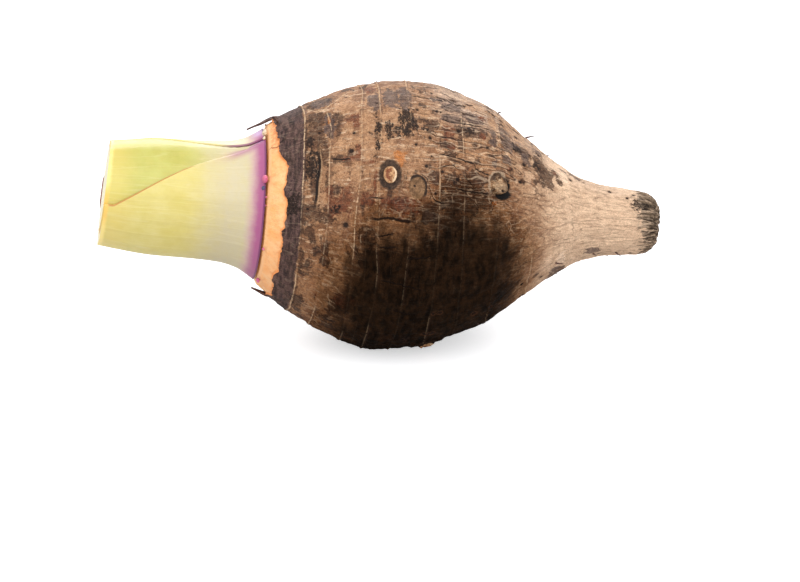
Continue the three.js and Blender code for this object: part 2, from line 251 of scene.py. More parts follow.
# Pits where rootlets came away: station, angle, radius.
PITS = [
    *((20.2, 30, 0.8), (68.9, 5, 0.7), (77.2, 10, 0.9), (61.2, 21, 0.8), (70.1, 20, 0.9)),
    *((53.4, 21, 0.6), (43.9, 16, 0.6), (43.3, 26, 0.6), (66.5, 37, 1), (60, 41, 0.8)),
    *((32.8, 44, 1.2), (49.9, 38, 0.6), (64.7, 51, 1), (78.4, 56, 1.1), (33.8, 34, 0.8), (32, 79, 1.4)),
    *((53.4, 30, 0.5), (67.1, 46, 0.5), (32, 4, 0.5), (59.4, 60, 0.6), (71.9, 53, 0.9)),
    *((79.6, 30, 1.1), (83.2, 9, 0.8), (91.5, 37, 0.8), (107.5, 37, 1), (129.5, 19, 0.8)),
    *((146.7, 13, 0.9), (153.9, 24, 0.8), (156.8, 12, 0.8), (94.4, 3, 0.7), (114.7, 18, 0.8)),
    *((97.4, 59, 0.6), (105.7, 50, 0.8), (135.5, 10, 0.6), (117.6, 2, 0.6), (16.6, 73, 0.7)),
    *((68.9, 63, 0.8), (42.1, 88, 0.5)),
]

# Cracks along it: half width, then the stations and angles that each runs through.
CRACKS = [
    (0.35, (79, 45), (81.4, 46), (85.5, 47), (86.7, 50), (89.7, 51), (92.1, 52)),
    (0.3, (78.4, 60), (83.2, 61), (87.3, 61), (91.5, 61)),
    (0.25, (81.4, 54), (83.2, 56), (85.5, 59)),
    (0.22, (71.9, 51), (74.2, 50), (76.6, 49), (78.4, 51)),
    (0.22, (72.5, 25), (77.8, 25), (84.3, 24), (87.9, 24), (93.3, 24)),
    (0.2, (71.9, 22), (76, 20), (80.8, 19)),
    (0.2, (71.3, 36), (74.8, 35), (79, 35)),
    (0.55, (42.1, 75), (44.5, 75), (48.7, 74), (54, 75), (58.6, 75)),
    (0.25, (45.7, 82), (50.5, 81)),
    (0.3, (46.3, 87), (52.3, 86)),
    (0.35, (58.2, 90), (61.8, 90), (68.3, 89)),
    (0.3, (48.7, 101), (55.8, 102), (61.2, 103), (64.7, 104)),
    (0.3, (54.6, 116), (58.8, 117), (64.1, 118)),
    (0.22, (41.6, 66), (46.3, 66)),
    (0.3, (62.4, 55), (64.1, 56), (65.3, 58), (66.2, 62), (68.3, 66), (71.9, 67)),
    (0.2, (70.7, 45), (76.6, 45), (82, 46)),
    (0.3, (25.3, 47), (28.5, 48), (32, 48)),
    (0.2, (59.4, 11), (65.9, 11), (73.6, 11), (79.6, 7)),
    (0.18, (60, 3), (67.7, 1), (74.2, 2)),
    (0.18, (73.1, 16), (78.4, 11), (83.2, 9)),
]
GROOVE = (19.8, 40, 72)  # a black groove beside the second ring: station, from and to in degrees
ARC = [(16, 6), (19, 12), (22.5, 12), (27.3, 7), (30.3, 2), (33.2, -2)]  # a pale line, as the cracks
UNSEEN = (112, 338)  # the angles whose markings are grown by chance, from the same kinds


def outline_radius(station):
    return np.interp(station, CORM_WALL[:, 0], CORM_WALL[:, 1])


def corm_point(station, angle, radius):
    """A point of the corm's skin before its fine relief."""
    grown = np.minimum(radius / 20, 1)
    sag = SAG["share"] * np.exp(-(((station - SAG["station"]) / SAG["reach"]) ** 2))
    uneven = 0.014 * np.sin(2 * angle + 0.05 * station + 0.6)
    uneven += 0.01 * np.sin(3 * angle - 0.07 * station + 1.4)
    uneven += 0.006 * np.sin(5 * angle + 0.11 * station)
    skin = radius * (1 + grown * uneven)
    for at, middle, reach, height, _ in BUDS:
        away = np.hypot(station - at, turn(middle, angle) * radius) / reach
        skin = skin + grown * height * np.exp(-(away**4))
    down = np.where(np.cos(angle) < 0, 1 + sag, 1)
    return place(station, np.cos(angle) * skin * down, np.sin(angle) * skin)


def wavering(values, size, seed):
    """Smooth chance values near -0.5 to 0.5 for an array of numbers, with features of a size."""
    flat = [noise.noise(Vector((value / size, seed, 0.5 * seed))) for value in np.ravel(values)]
    return np.reshape(flat, np.shape(values))


def fractal(points, size, octaves=4, seed=0.0):
    """Smooth chance values near -1 to 1 at points, with features of a size."""
    flat = (np.reshape(points, (-1, 3)) / size + seed).tolist()
    values = [noise.fractal(point, 0.7, 2.1, octaves) for point in flat]
    return np.reshape(values, np.shape(points)[:-1])


def torn_station(angle):
    """How far from the crown the bark is torn back to, with its fine jags."""
    share = (angle / (2 * pi) * len(TORN_EDGE)) % len(TORN_EDGE)
    coarse = np.interp(share, np.arange(len(TORN_EDGE) + 1), [*TORN_EDGE, TORN_EDGE[0]])
    round_there = np.stack([np.cos(angle), np.sin(angle), 0 * angle], -1) * 36
    return coarse + 1.1 * fractal(round_there, 4.5, 3) + 0.25 * fractal(round_there, 1.2, 2, 5.0)


def scar_shift(scar, angle):
    """How far a ring strays along the spine at an angle."""
    round_there = np.stack([np.cos(angle), np.sin(angle), 0 * angle + scar], -1) * 6
    small = 0.35 * fractal(round_there, 2.4, 2)
    if scar not in SCAR_STRAYS:
        return 0.7 * np.sin(angle + scar) + small
    degrees, strays = zip(*SCAR_STRAYS[scar])
    return np.interp(np.degrees(angle) % 360, degrees, strays, period=360) + small


# ---------------------------------------------------------------- fields over the corm's skin


def with_chance(marks, rng, copies=2):
    """The placed marks, and copies of them strewn by chance over the unseen side."""
    grown = []
    for station, _, *size in marks * copies:
        at = np.clip(station + rng.normal(0, 9), 10, 162)
        grown.append((at, rng.uniform(*UNSEEN), *(s * rng.uniform(0.8, 1.35) for s in size)))
    return [*marks, *grown]


def stain_field(skin, marks):
    """Falls from 1 in the middle of each stain to 0.5 at its edge, and on below."""
    station, angle, radius = skin
    field = np.full(station.shape, -1.0)
    for at, middle, length, width in marks:
        along = np.abs((station - at) / length)
        across = np.abs(turn(middle, angle) * radius / width)
        away = (along**2.6 + across**2.6) ** (1 / 2.6)
        field = np.maximum(field, 1 - 0.5 * away)
    return field


def nearest_field(skin, marks, reach):
    """Place beside the nearest mark, along and round, in units of its size, and a mask that fades
    at reach sizes away. Each mark is (station, angle, size)."""
    station, angle, radius = skin
    best = np.full(station.shape, 1e9)
    along, across = np.full(station.shape, 9.0), np.full(station.shape, 9.0)
    for at, middle, size in marks:
        u, v = (station - at) / size, turn(middle, angle) * radius / size
        away = np.hypot(u, v)
        nearer = away < best
        best = np.where(nearer, away, best)
        along, across = np.where(nearer, u, along), np.where(nearer, v, across)
    return np.stack([along, across, 1 - smooth(reach * 0.8, reach, best)], -1)


def crack_field(skin, cracks):
    """Signed distance round from the nearest crack, how strongly it shows, and its half width."""
    station, angle, radius = skin
    found = np.zeros((*station.shape, 3))
    found[..., 0] = 9
    for width, *path in cracks:
        stations, angles = np.array(path, float).T
        middle = np.interp(station, stations, angles)
        off = turn(0, angle - np.radians(middle)) * radius
        ends = smooth(stations[0] - 1.2, stations[0] + 1, station)
        ends = ends * (1 - smooth(stations[-1] - 1, stations[-1] + 1.2, station))
        shown = ends * (1 - smooth(1.4, 2.2, np.abs(off)))
        nearer = np.abs(off) + 6 * (1 - ends) < np.abs(found[..., 0]) + 6 * (1 - found[..., 1])
        values = np.stack([off, shown, np.full(station.shape, width)], -1)
        found = np.where((nearer & (np.abs(off) < 3))[..., None], values, found)
    return found


def chance_cracks(rng, count, span=UNSEEN):
    """Cracks that wander along the corm, away from the placed ones."""
    grown = []
    for _ in range(count):
        start, angle = rng.uniform(20, 120), rng.uniform(*span)
        steps = np.cumsum(rng.uniform(2.5, 5, rng.integers(3, 6)))
        angles = angle + np.cumsum(rng.normal(0, 1.2, len(steps)))
        grown.append((rng.uniform(0.2, 0.45), *zip(start + steps, angles)))
    return grown


def scar_field(station, angle):
    """Signed distance along from the nearest ring, and how strongly that ring shows there."""
    best = np.full(station.shape, 99.0)
    shown = np.zeros(station.shape)
    for scar in SCARS:
        off = station - scar - scar_shift(scar, angle[0])[None, :]
        strength = np.full(station.shape, 0.08)
        for ring, low, high, weight in SCAR_ARCS:
            if ring == scar:
                past = np.abs(turn((low + high) / 2, angle)) - radians(high - low) / 2
                strength = np.maximum(strength, weight * smooth(0.05, -0.05, past))
        nearer = np.abs(off) < np.abs(best)
        best, shown = np.where(nearer, off, best), np.where(nearer, strength, shown)
    return np.stack([best, shown, np.zeros(station.shape)], -1)


def groove_field(station, angle):
    """Signed distance along from the black groove, and how strongly it shows there."""
    at, low, high = GROOVE
    past = np.abs(turn((low + high) / 2, angle)) - radians(high - low) / 2
    off = station - at - 0.4 * np.sin(angle * 9) - 0.2 * np.sin(angle * 23)
    return np.stack([off, smooth(0.06, -0.1, past), np.zeros(station.shape)], -1)


def bud_fields(skin):
    """Place beside the nearest side bud in millimetres, its radius, and a mask for each kind."""
    station, angle, radius = skin
    beside = np.full((*station.shape, 3), 20.0)
    kinds = np.zeros((*station.shape, 3))
    best = np.full(station.shape, 1e9)
    for at, middle, reach, _, kind in BUDS:
        u, v = station - at, turn(middle, angle) * radius
        away = np.hypot(u, v)
        nearer = away < best
        best = np.where(nearer, away, best)
        here = np.stack([u, v, np.full(station.shape, reach)], -1)
        mask = np.zeros((*station.shape, 3))
        mask[..., BUD_KINDS.index(kind)] = 1 - smooth(reach * 1.5, reach * 1.8, away)
        beside = np.where(nearer[..., None], here, beside)
        kinds = np.where(nearer[..., None], mask, kinds)
    return beside, kinds


# ---------------------------------------------------------------- meshes


def make_object(name, points, faces, fields=None, parts=None, sharp=None):
    """A mesh object from points in millimetres, with fields kept as attributes of its points and
    parts as the material number of each face."""
    mesh = bpy.data.meshes.new(name)
    mesh.from_pydata((np.reshape(points, (-1, 3)) * MM).tolist(), [], faces)
    for field, values in (fields or {}).items():
        kept = mesh.attributes.new(field, "FLOAT_VECTOR", "POINT")
        kept.data.foreach_set("vector", np.asarray(values, np.float32).ravel())
    if parts is not None:
        mesh.polygons.foreach_set("material_index", np.asarray(parts, np.int32))
    mesh.polygons.foreach_set("use_smooth", [True] * len(mesh.polygons))
    if sharp:
        mesh.set_sharp_from_angle(angle=radians(sharp))
    mesh.validate()
    mesh.update()
    made = bpy.data.objects.new(name, mesh)
    bpy.context.scene.collection.objects.link(made)
    return made


def tube_faces(rows, sides, start=0):
    """Faces between rows of points that each close on themselves, seen from outside."""
    row = start + sides * np.arange(rows - 1)[:, None]
    side = np.arange(sides)[None, :]
    after = (side + 1) % sides
    quads = np.stack([row + side, row + after, row + sides + after, row + sides + side], -1)
    return quads.reshape(-1, 4).tolist()


def capped_tube(rows, sides, start):
    """The faces of such a tube, and one more over each of its ends."""
    first = list(range(start, start + sides))
    last = [at + (rows - 1) * sides for at in first]
    return [*tube_faces(rows, sides, start), first[::-1], last]


def sheet_faces(ids, closed, flipped):
    """Faces between rows of numbered points, closed on themselves or not, and flipped or not."""
    after = np.roll(ids, -1, 1) if closed else ids[:, 1:]
    before = ids if closed else ids[:, :-1]
    quads = np.stack([before[:-1], after[:-1], after[1:], before[1:]], -1).reshape(-1, 4)
    return (quads[:, ::-1] if flipped else quads).tolist()


def outward(points):
    """Unit normals of a grid of points whose columns close on themselves."""
    along = np.gradient(points, axis=0)
    round_there = np.roll(points, -1, axis=1) - np.roll(points, 1, axis=1)
    normals = np.cross(along, round_there)
    normals = normals / np.maximum(np.linalg.norm(normals, axis=-1, keepdims=True), 1e-9)
    middle = points.mean(axis=1, keepdims=True)
    return normals * np.sign(np.median(np.sum(normals * (points - middle), -1)))


def finish_piece(piece, slot, materials, *nodes):
    """Gives a piece its materials and its place in the frame. Its slot is not used."""
    for material in materials:
        piece.data.materials.append(material)
    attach(piece, "root")
    if nodes:
        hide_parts(*nodes)


# ---------------------------------------------------------------- shader nodes


def colour(red, green, blue):
    """A colour given in ordinary 0 to 255 steps, as the shader wants it."""
    steps = np.array((red, green, blue)) / 255
    linear = np.where(steps <= 0.04045, steps / 12.92, ((steps + 0.055) / 1.055) ** 2.4)
    return (*linear.tolist(), 1.0)


class Nodes:
    """Places and links the nodes of one shader tree."""

    def __init__(self, tree):
        self.tree = tree
        self.placed = 0

    def add(self, kind, inputs=None, output=0, **settings):
        """A new node, with values or links for its inputs. Returns the named output."""
        node = self.tree.nodes.new(kind)
        node.location = (self.placed % 12 * 190, -(self.placed // 12) * 260)
        self.placed += 1
        for setting, value in settings.items():
            setattr(node, setting, value)
        for name, value in (inputs or {}).items():
            self.feed(node.inputs[name], value)
        return node if output is None else node.outputs[output]

    def feed(self, socket, value):
        if isinstance(value, bpy.types.NodeSocket):
            self.tree.links.new(value, socket)
        else:
            socket.default_value = value

    def math(self, operation, *values, clamp=False):
        return self.add(
            "ShaderNodeMath", dict(enumerate(values)), operation=operation, use_clamp=clamp
        )

    def step(self, value, low, high, to_low=0.0, to_high=1.0):
        """A soft step in a value from low to high."""
        return self.add(
            "ShaderNodeMapRange",
            {"Value": value, 1: low, 2: high, 3: to_low, 4: to_high},
            interpolation_type="SMOOTHSTEP",
        )

    def mix(self, factor, a, b, blend="MIX"):
        return self.add(
            "ShaderNodeMix", {0: factor, 6: a, 7: b}, 2, data_type="RGBA", blend_type=blend
        )

    def paint(self, tone, mask, strength, over):
        """A tone with another over it where a mask shows, at most this strongly."""
        return self.mix(self.product(mask, strength), tone, over)

    def product(self, a, b):
        return self.math("MULTIPLY", a, b)

    def near(self, value, middle, reach, soft):
        """1 where a value is within reach of the middle, and 0 beyond the soft edge."""
        off = self.math("ABSOLUTE", self.math("SUBTRACT", value, middle))
        return self.step(off, reach + soft, reach)

    def field(self, name):
        """The three values of a field that is kept on the mesh, and the field as a vector."""
        vector = self.add("ShaderNodeAttribute", output="Vector", attribute_name=name)
        split = self.add("ShaderNodeSeparateXYZ", {0: vector}, None)
        return vector, *split.outputs

    def scaled(self, vector, x, y, z):
        return self.add("ShaderNodeVectorMath", {0: vector, 1: (x, y, z)}, operation="MULTIPLY")

    def noise(self, vector, scale, detail=3.0, roughness=0.55, output="Fac"):
        return self.add(
            "ShaderNodeTexNoise",
            {"Vector": vector, "Scale": scale, "Detail": detail, "Roughness": roughness},
            output,
        )

    def stray(self, reach, vector, scale, detail=3.0, roughness=0.55):
        """Noise that strays to either side of nought, by half of reach at most."""
        off = self.math("SUBTRACT", self.noise(vector, scale, detail, roughness), 0.5)
        return self.product(off, reach)

    def away(self, u, v, stray, along=1.0, across=1.0):
        """How far a place is from the middle of a mark, as a share of its size, give or take."""
        flat = self.add(
            "ShaderNodeCombineXYZ",
            {0: self.math("DIVIDE", u, along), 1: self.math("DIVIDE", v, across)},
        )
        length = self.add("ShaderNodeVectorMath", {0: flat}, "Value", operation="LENGTH")
        return self.math("ADD", length, stray)

    def group(self, tree, inputs, output=0):
        node = self.add("ShaderNodeGroup", output=None, node_tree=tree)
        for name, value in inputs.items():
            self.feed(node.inputs[name], value)
        return node if output is None else node.outputs[output]

    def blotch(self, place, size, cover=0.5, sharpness=0.1):
        """The mask of cloudy blotches of one size."""
        values = {"Place": place, "Size": size, "Cover": cover, "Sharpness": sharpness}
        return self.group(effect(mottle_group), values)

    def fibres(self, place, spacing, length, waver):
        """The painted groove shade, painted ridge highlights and relief of lines along the yam."""
        values = {"Place": place, "Spacing": spacing, "Length": length, "Waver": waver}
        return self.group(effect(fibre_group), values, None).outputs

    def bump(self, height, strength=1.0):
        """A normal from a height in millimetres."""
        return self.add(
            "ShaderNodeBump", {"Strength": strength, "Distance": MM, "Height": height}, "Normal"
        )


def new_group(name, inputs, outputs):
    """An empty shader node group with these sockets."""
    tree = bpy.data.node_groups.new(name, "ShaderNodeTree")
    kinds = {"vector": "NodeSocketVector", "colour": "NodeSocketColor"}
    for socket, default in inputs.items():
        kind = kinds.get(default, "NodeSocketFloat")
        made = tree.interface.new_socket(name=socket, in_out="INPUT", socket_type=kind)
        if kind == "NodeSocketFloat":
            made.default_value = default
    for socket in outputs:
        tree.interface.new_socket(name=socket, in_out="OUTPUT", socket_type="NodeSocketFloat")
    nodes = Nodes(tree)
    given = nodes.add("NodeGroupInput", output=None).outputs
    taken = nodes.add("NodeGroupOutput", output=None).inputs
    return tree, nodes, given, taken


def fibre_group():
    """Wavering lines that run along the yam: painted shade in their grooves, a painted highlight
    on one side of the ridge beside each, and their relief from 0 in a groove to 1."""
    inputs = {"Place": "vector", "Spacing": 4.0, "Length": 40.0, "Waver": 1.0}
    outputs = ("Groove shade", "Ridge highlights", "Relief")
    tree, nodes, given, taken = new_group("Lengthwise fibres", inputs, outputs)
    shift = nodes.noise(given["Place"], 0.11, 1.0, output="Color")
    shift = nodes.add(
        "ShaderNodeVectorMath", {0: shift, 1: (0.5, 0.5, 0.5)}, operation="SUBTRACT"
    )
    shift = nodes.add(
        "ShaderNodeVectorMath", {0: shift, "Scale": given["Waver"]}, operation="SCALE"
    )
    moved = nodes.add("ShaderNodeVectorMath", {0: given["Place"], 1: shift}, operation="ADD")
    split = nodes.add("ShaderNodeSeparateXYZ", {0: moved}, None).outputs
    stretched = nodes.add(
        "ShaderNodeCombineXYZ",
        {
            0: nodes.math("DIVIDE", split[0], given["Length"]),
            1: nodes.math("DIVIDE", split[1], given["Spacing"]),
            2: nodes.math("DIVIDE", split[2], given["Spacing"]),
        },
    )
    grown = nodes.noise(stretched, 1.0, 1.0, 0.3)
    phase = nodes.product(grown, 30.0)
    waves = nodes.math("SINE", phase)
    # Painted shade in each groove, and a painted highlight along one side of the ridge beside it.
    nodes.feed(taken["Groove shade"], nodes.step(waves, 0.8, 0.98))
    beside = nodes.math("SINE", nodes.math("ADD", phase, 1.3))
    nodes.feed(taken["Ridge highlights"], nodes.step(beside, 0.88, 1.0))
    nodes.feed(taken["Relief"], nodes.step(waves, 1.0, 0.3))
    return tree


def mottle_group():
    """Cloudy blotches of one size that cover a share of the surface."""
    inputs = {"Place": "vector", "Size": 4.0, "Cover": 0.5, "Sharpness": 0.12}
    tree, nodes, given, taken = new_group("Mottling", inputs, ("Mask",))
    scale = nodes.math("DIVIDE", 1.0, given["Size"])
    cloud = nodes.noise(given["Place"], scale, 5.0, 0.6)
    edge = nodes.math("SUBTRACT", 0.75, nodes.product(given["Cover"], 0.5))
    low = nodes.math("SUBTRACT", edge, given["Sharpness"])
    high = nodes.math("ADD", edge, given["Sharpness"])
    nodes.feed(taken["Mask"], nodes.step(cloud, low, high))
    return tree


def edge_group():
    """A ragged edge for a field that passes one half where a stain ends, with worn-through holes
    near that edge."""
    inputs = {"Field": 0.0, "Place": "vector", "Raggedness": 1.5, "Softness": 0.05, "Holes": 0.7}
    tree, nodes, given, taken = new_group("Ragged edge", inputs, ("Mask",))
    coarse = nodes.noise(given["Place"], 0.38, 5.0, 0.62)
    chance = nodes.product(nodes.math("SUBTRACT", coarse, 0.5), given["Raggedness"])
    torn = nodes.math("ADD", given["Field"], chance)
    low = nodes.math("SUBTRACT", 0.5, given["Softness"])
    high = nodes.math("ADD", 0.5, given["Softness"])
    holes = nodes.step(nodes.noise(given["Place"], 1.15, 3.0, 0.6), 0.53, 0.6)
    holes = nodes.product(holes, nodes.step(torn, 1.15, 0.6))
    whole = nodes.math("SUBTRACT", 1.0, nodes.product(holes, given["Holes"]))
    nodes.feed(taken["Mask"], nodes.product(nodes.step(torn, low, high), whole))
    return tree


EFFECTS = {}


def effect(build):
    """A shared node group, built the first time that a material asks for it."""
    if build not in EFFECTS:
        EFFECTS[build] = build()
    return EFFECTS[build]


def new_material(name, roughness):
    """A material with a plain Principled BSDF. Returns it, its nodes and the shader's inputs."""
    material = bpy.data.materials.new(name)
    material.use_nodes = True
    material.node_tree.nodes.clear()
    nodes = Nodes(material.node_tree)
    shader = nodes.add("ShaderNodeBsdfPrincipled", {"Roughness": roughness}, None)
    nodes.add("ShaderNodeOutputMaterial", {"Surface": shader.outputs[0]}, None)
    return material, nodes, shader.inputs


# ---------------------------------------------------------------- finishes


# How far each layer of the bark stands proud of the cork, in millimetres, or below it.
BARK_LIFTS = {
    "dark skin": 0.1,
    "grey skin": 0.12,
    "red skin": 0.06,
    "black skin": 0.14,
    "bare cork": -0.08,
    "pits": -0.6,
    "cracks": -0.5,
    "grooves": -0.5,
    "ring lines": 0.15,
}


class Bark:
    """The bark while it is painted: its nodes, its places, and its tone so far."""

    def __init__(self, nodes):
        self.nodes = nodes
        self.skin, self.station, self.over, self.front = nodes.field("skin")
        self.ringwise = nodes.scaled(self.skin, 1, 0.5, 0.5)
        self.lengthwise = nodes.scaled(self.skin, 0.3, 1, 1)
        self.tail = nodes.step(self.station, 98.0, 130.0)
        self.tone = None
        self.masks = {}

    def lay(self, mask, strength, over, layer=None):
        """Lays a colour over the tone where a mask shows, at most this strongly, and keeps the
        mask of a layer that the relief asks for."""
        self.tone = self.nodes.paint(self.tone, mask, strength, over)
        if layer:
            self.masks[layer] = mask

    def stain(self, field, raggedness=1.5, softness=0.05, holes=0.7, place=None):
        """The ragged mask of a field that passes one half where a stain ends."""
        place = self.skin if place is None else place
        values = {"Field": field, "Place": place, "Raggedness": raggedness}
        return self.nodes.group(
            effect(edge_group), {**values, "Softness": softness, "Holes": holes}
        )


def lay_cork(bark, paint):
    """The cork itself, paler and smoother towards the tail. Returns how
    strongly its grain shows."""
    nodes, skin, station = bark.nodes, bark.skin, bark.station
    rough = nodes.step(station, 132.0, 100.0, 0.25, 1.0)
    bark.tone = nodes.mix(bark.tail, paint.bark_light, paint.bark_tail)
    bark.lay(nodes.blotch(skin, 7.0, 0.5, 0.15), nodes.product(rough, 0.9), paint.bark_dark)
    bark.lay(nodes.blotch(skin, 2.3, 0.42), nodes.product(rough, 0.6), colour(132, 92, 66))
    left = nodes.step(station, 74.0, 52.0, 0.35, 1.0)
    grain = nodes.step(station, 126.0, 104.0, 0.2, 1.0)
    flecks = nodes.product(nodes.blotch(bark.ringwise, 1.0, 0.36, 0.05), grain)
    bark.lay(flecks, 0.62, colour(104, 72, 50))
    patches = nodes.blotch(bark.ringwise, 3.0, 0.36, 0.03)
    bark.lay(patches, nodes.product(left, 0.5), colour(118, 78, 58))
    bark.lay(nodes.blotch(bark.lengthwise, 1.5, 0.32, 0.05), 0.6, colour(232, 198, 164))
    return grain


def lay_painted_sheen_on_top(bark):
    """A painted sheen: the bark drawn paler and greyer along the top."""
    nodes, station = bark.nodes, bark.station
    from_top = nodes.math("ABSOLUTE", nodes.math("ARCTAN2", bark.front, bark.over))
    # Painted sheen along the top, from the middle towards the tail.
    pale = nodes.product(nodes.step(from_top, 0.62, 0.2), nodes.step(station, 64.0, 78.0))
    pale = nodes.product(pale, nodes.step(station, 120.0, 100.0, 0.5, 1.0))
    bark.lay(pale, 0.36, colour(222, 200, 182))


def lay_old_skin(bark, paint):
    """Old skin: some by chance, most of it near the crown, and then the placed stains. Returns
    the field of the blackest skin, which is laid on after the dirt."""
    nodes, skin, station = bark.nodes, bark.skin, bark.station
    _, black, dark, grey = nodes.field("flakes")
    _, red, tan, orange = nodes.field("tones")
    *_, band = nodes.field("crown_place")
    cover = nodes.step(station, 28.0, 17.0, 0.28, 0.46)
    chance = nodes.blotch(bark.ringwise, 4.5, cover, 0.04)
    chance = nodes.product(chance, nodes.step(station, 112.0, 92.0))
    dark_skin = nodes.mix(nodes.blotch(skin, 1.3, 0.5, 0.12), colour(50, 32, 25), colour(98, 68, 50))
    dark_skin = nodes.paint(dark_skin, nodes.blotch(skin, 0.8, 0.34, 0.05), 0.7, colour(30, 20, 16))
    dark_mask = nodes.math("MAXIMUM", bark.stain(dark, 1.2, 0.04, 0.45), chance)
    bark.lay(dark_mask, 0.88, dark_skin, "dark skin")
    grey_skin = nodes.mix(nodes.blotch(skin, 1.5, 0.5, 0.15), paint.flake_grey, colour(118, 96, 86))
    bark.lay(bark.stain(grey, 1.1, 0.04, 0.4), 0.86, grey_skin, "grey skin")
    red_skin = nodes.mix(nodes.blotch(skin, 1.4), colour(84, 44, 28), colour(132, 76, 50))
    bark.lay(bark.stain(red, 1.2, 0.04, 0.5), 0.88, red_skin, "red skin")
    bare = nodes.mix(nodes.blotch(skin, 1.8), colour(162, 118, 84), colour(194, 149, 111))
    bare = nodes.mix(bark.tail, bare, colour(246, 214, 184))
    bark.lay(bark.stain(tan, 1.6, 0.08), 0.8, bare, "bare cork")
    bark.lay(bark.stain(orange, 1.2, 0.15, 0.3), 0.75, colour(188, 112, 48))
    streaked = nodes.scaled(skin, 1, 0.22, 0.22)
    dusk = nodes.mix(nodes.blotch(streaked, 1.3, 0.5, 0.14), colour(48, 34, 34), colour(104, 78, 73))
    dusk = nodes.paint(dusk, nodes.blotch(skin, 0.9, 0.36, 0.06), 0.6, colour(38, 28, 30))
    bark.lay(bark.stain(band, 0.35, 0.05, 0.0), 0.94, dusk)
    return black


def warm_shade_under_belly(bark, raw_dirt_and_shade):
    """Warms and darkens the tone towards the underside, a painted shade. Returns where the dark
    earth and painted shade under the belly show, which is laid on after the wrinkles."""
    nodes = bark.nodes
    # Painted shade: warmer and darker towards the underside.
    warm_shade = nodes.mix(nodes.step(raw_dirt_and_shade, 0.0, 0.5), colour(255, 255, 255), colour(214, 198, 182))
    bark.tone = nodes.mix(1.0, bark.tone, warm_shade, "MULTIPLY")
    patchy = nodes.stray(0.6, bark.ringwise, 0.2, 5.0, 0.6)
    return nodes.step(nodes.math("ADD", raw_dirt_and_shade, patchy), 0.3, 1.0)


def lay_wrinkles(bark, wrinkled):
    """Wrinkles and finer lines along it, with painted shade and highlights. Returns the relief of both.
    """
    nodes, skin, station = bark.nodes, bark.skin, bark.station
    creases = nodes.fibres(skin, 4.2, 80.0, 3.0)
    hairs = nodes.fibres(skin, 1.7, 16.0, 1.5)
    hairy = nodes.step(station, 36.0, 66.0, 0.15, 1.0)
    hairy = nodes.product(hairy, nodes.step(station, 124.0, 96.0, 0.12, 1.0))
    broken = nodes.step(nodes.noise(bark.lengthwise, 0.3, 3.0), 0.38, 0.56)
    shown = nodes.product(wrinkled, broken)
    ridge_highlight = nodes.product(creases["Ridge highlights"], wrinkled)
    ridge_highlight = nodes.product(ridge_highlight, nodes.step(station, 112.0, 92.0))
    # Painted highlights on one side of the wrinkles' ridges, and painted shade in their grooves.
    bark.lay(ridge_highlight, 0.4, colour(226, 196, 164))
    bark.lay(nodes.product(creases["Groove shade"], shown), 0.95, colour(58, 36, 24))
    bark.lay(nodes.product(hairs["Ridge highlights"], hairy), 0.2, colour(236, 204, 170))
    bark.lay(nodes.product(hairs["Groove shade"], hairy), 0.36, colour(64, 40, 28))
    return creases["Relief"], hairs["Relief"]


def lay_freckles(bark):
    """Freckles on the tail, and dark dots all over."""
    nodes, skin, station = bark.nodes, bark.skin, bark.station
    freckles = nodes.product(nodes.blotch(skin, 3.4, 0.3, 0.05), nodes.step(station, 104.0, 122.0))
    freckles = nodes.product(freckles, nodes.step(station, 162.0, 150.0))
    bark.lay(freckles, 0.4, colour(150, 116, 96))
    dots = nodes.step(nodes.noise(skin, 1.15, 2.0, 0.6), 0.66, 0.74)
    dots = nodes.product(dots, nodes.step(bark.tail, 1.0, 0.0, 0.5, 1.0))
    bark.lay(dots, 0.55, colour(66, 42, 30))


def lay_dirt_and_shade(bark, dirt_and_shade):
    """The near-black underside, which is dark earth and painted shade, and the crazed edges of the
    bark's plates, which show where it thins.
    """
    nodes, skin = bark.nodes, bark.skin
    moved = nodes.noise(skin, 0.5, 2.0, output="Color")
    moved = nodes.add("ShaderNodeVectorMath", {0: skin, 1: moved}, operation="ADD")
    plates = nodes.add(
        "ShaderNodeTexVoronoi",
        {"Vector": moved, "Scale": 0.16},
        "Distance",
        feature="DISTANCE_TO_EDGE",
    )
    # Near-black earth and painted shade under the belly.
    soil_and_shade = nodes.mix(nodes.blotch(bark.ringwise, 2.4, 0.5, 0.14), colour(9, 4, 1), colour(36, 21, 9))
    bark.lay(dirt_and_shade, 0.98, soil_and_shade)
    crazed = nodes.product(nodes.step(plates, 0.05, 0.02), nodes.near(dirt_and_shade, 0.35, 0.15, 0.25))
    crazed = nodes.product(crazed, nodes.step(nodes.noise(skin, 0.3, 2.0), 0.46, 0.6))
    bark.lay(crazed, 0.45, colour(168, 138, 110))


def lay_black_skin(bark, black):
    """The blackest of the old skin."""
    nodes, skin = bark.nodes, bark.skin
    mask = bark.stain(black, 2.8, 0.04, 0.6, nodes.scaled(skin, 2.2, 1.3, 1.3))
    soot = nodes.mix(nodes.blotch(skin, 0.9), colour(20, 13, 10), colour(52, 36, 28))
    bark.lay(mask, 0.96, soot, "black skin")


def lay_frayed_tail(bark, tip):
    """The frayed end of the tail."""
    nodes, place = bark.nodes, bark.lengthwise
    frayed = nodes.mix(nodes.blotch(place, 2.6, 0.5, 0.1), colour(34, 24, 16), colour(122, 102, 82))
    frayed = nodes.paint(frayed, nodes.blotch(place, 2.2, 0.42, 0.05), 0.75, colour(206, 178, 152))
    bark.lay(bark.stain(tip, 2.4, 0.08, 0.2), 0.95, frayed)


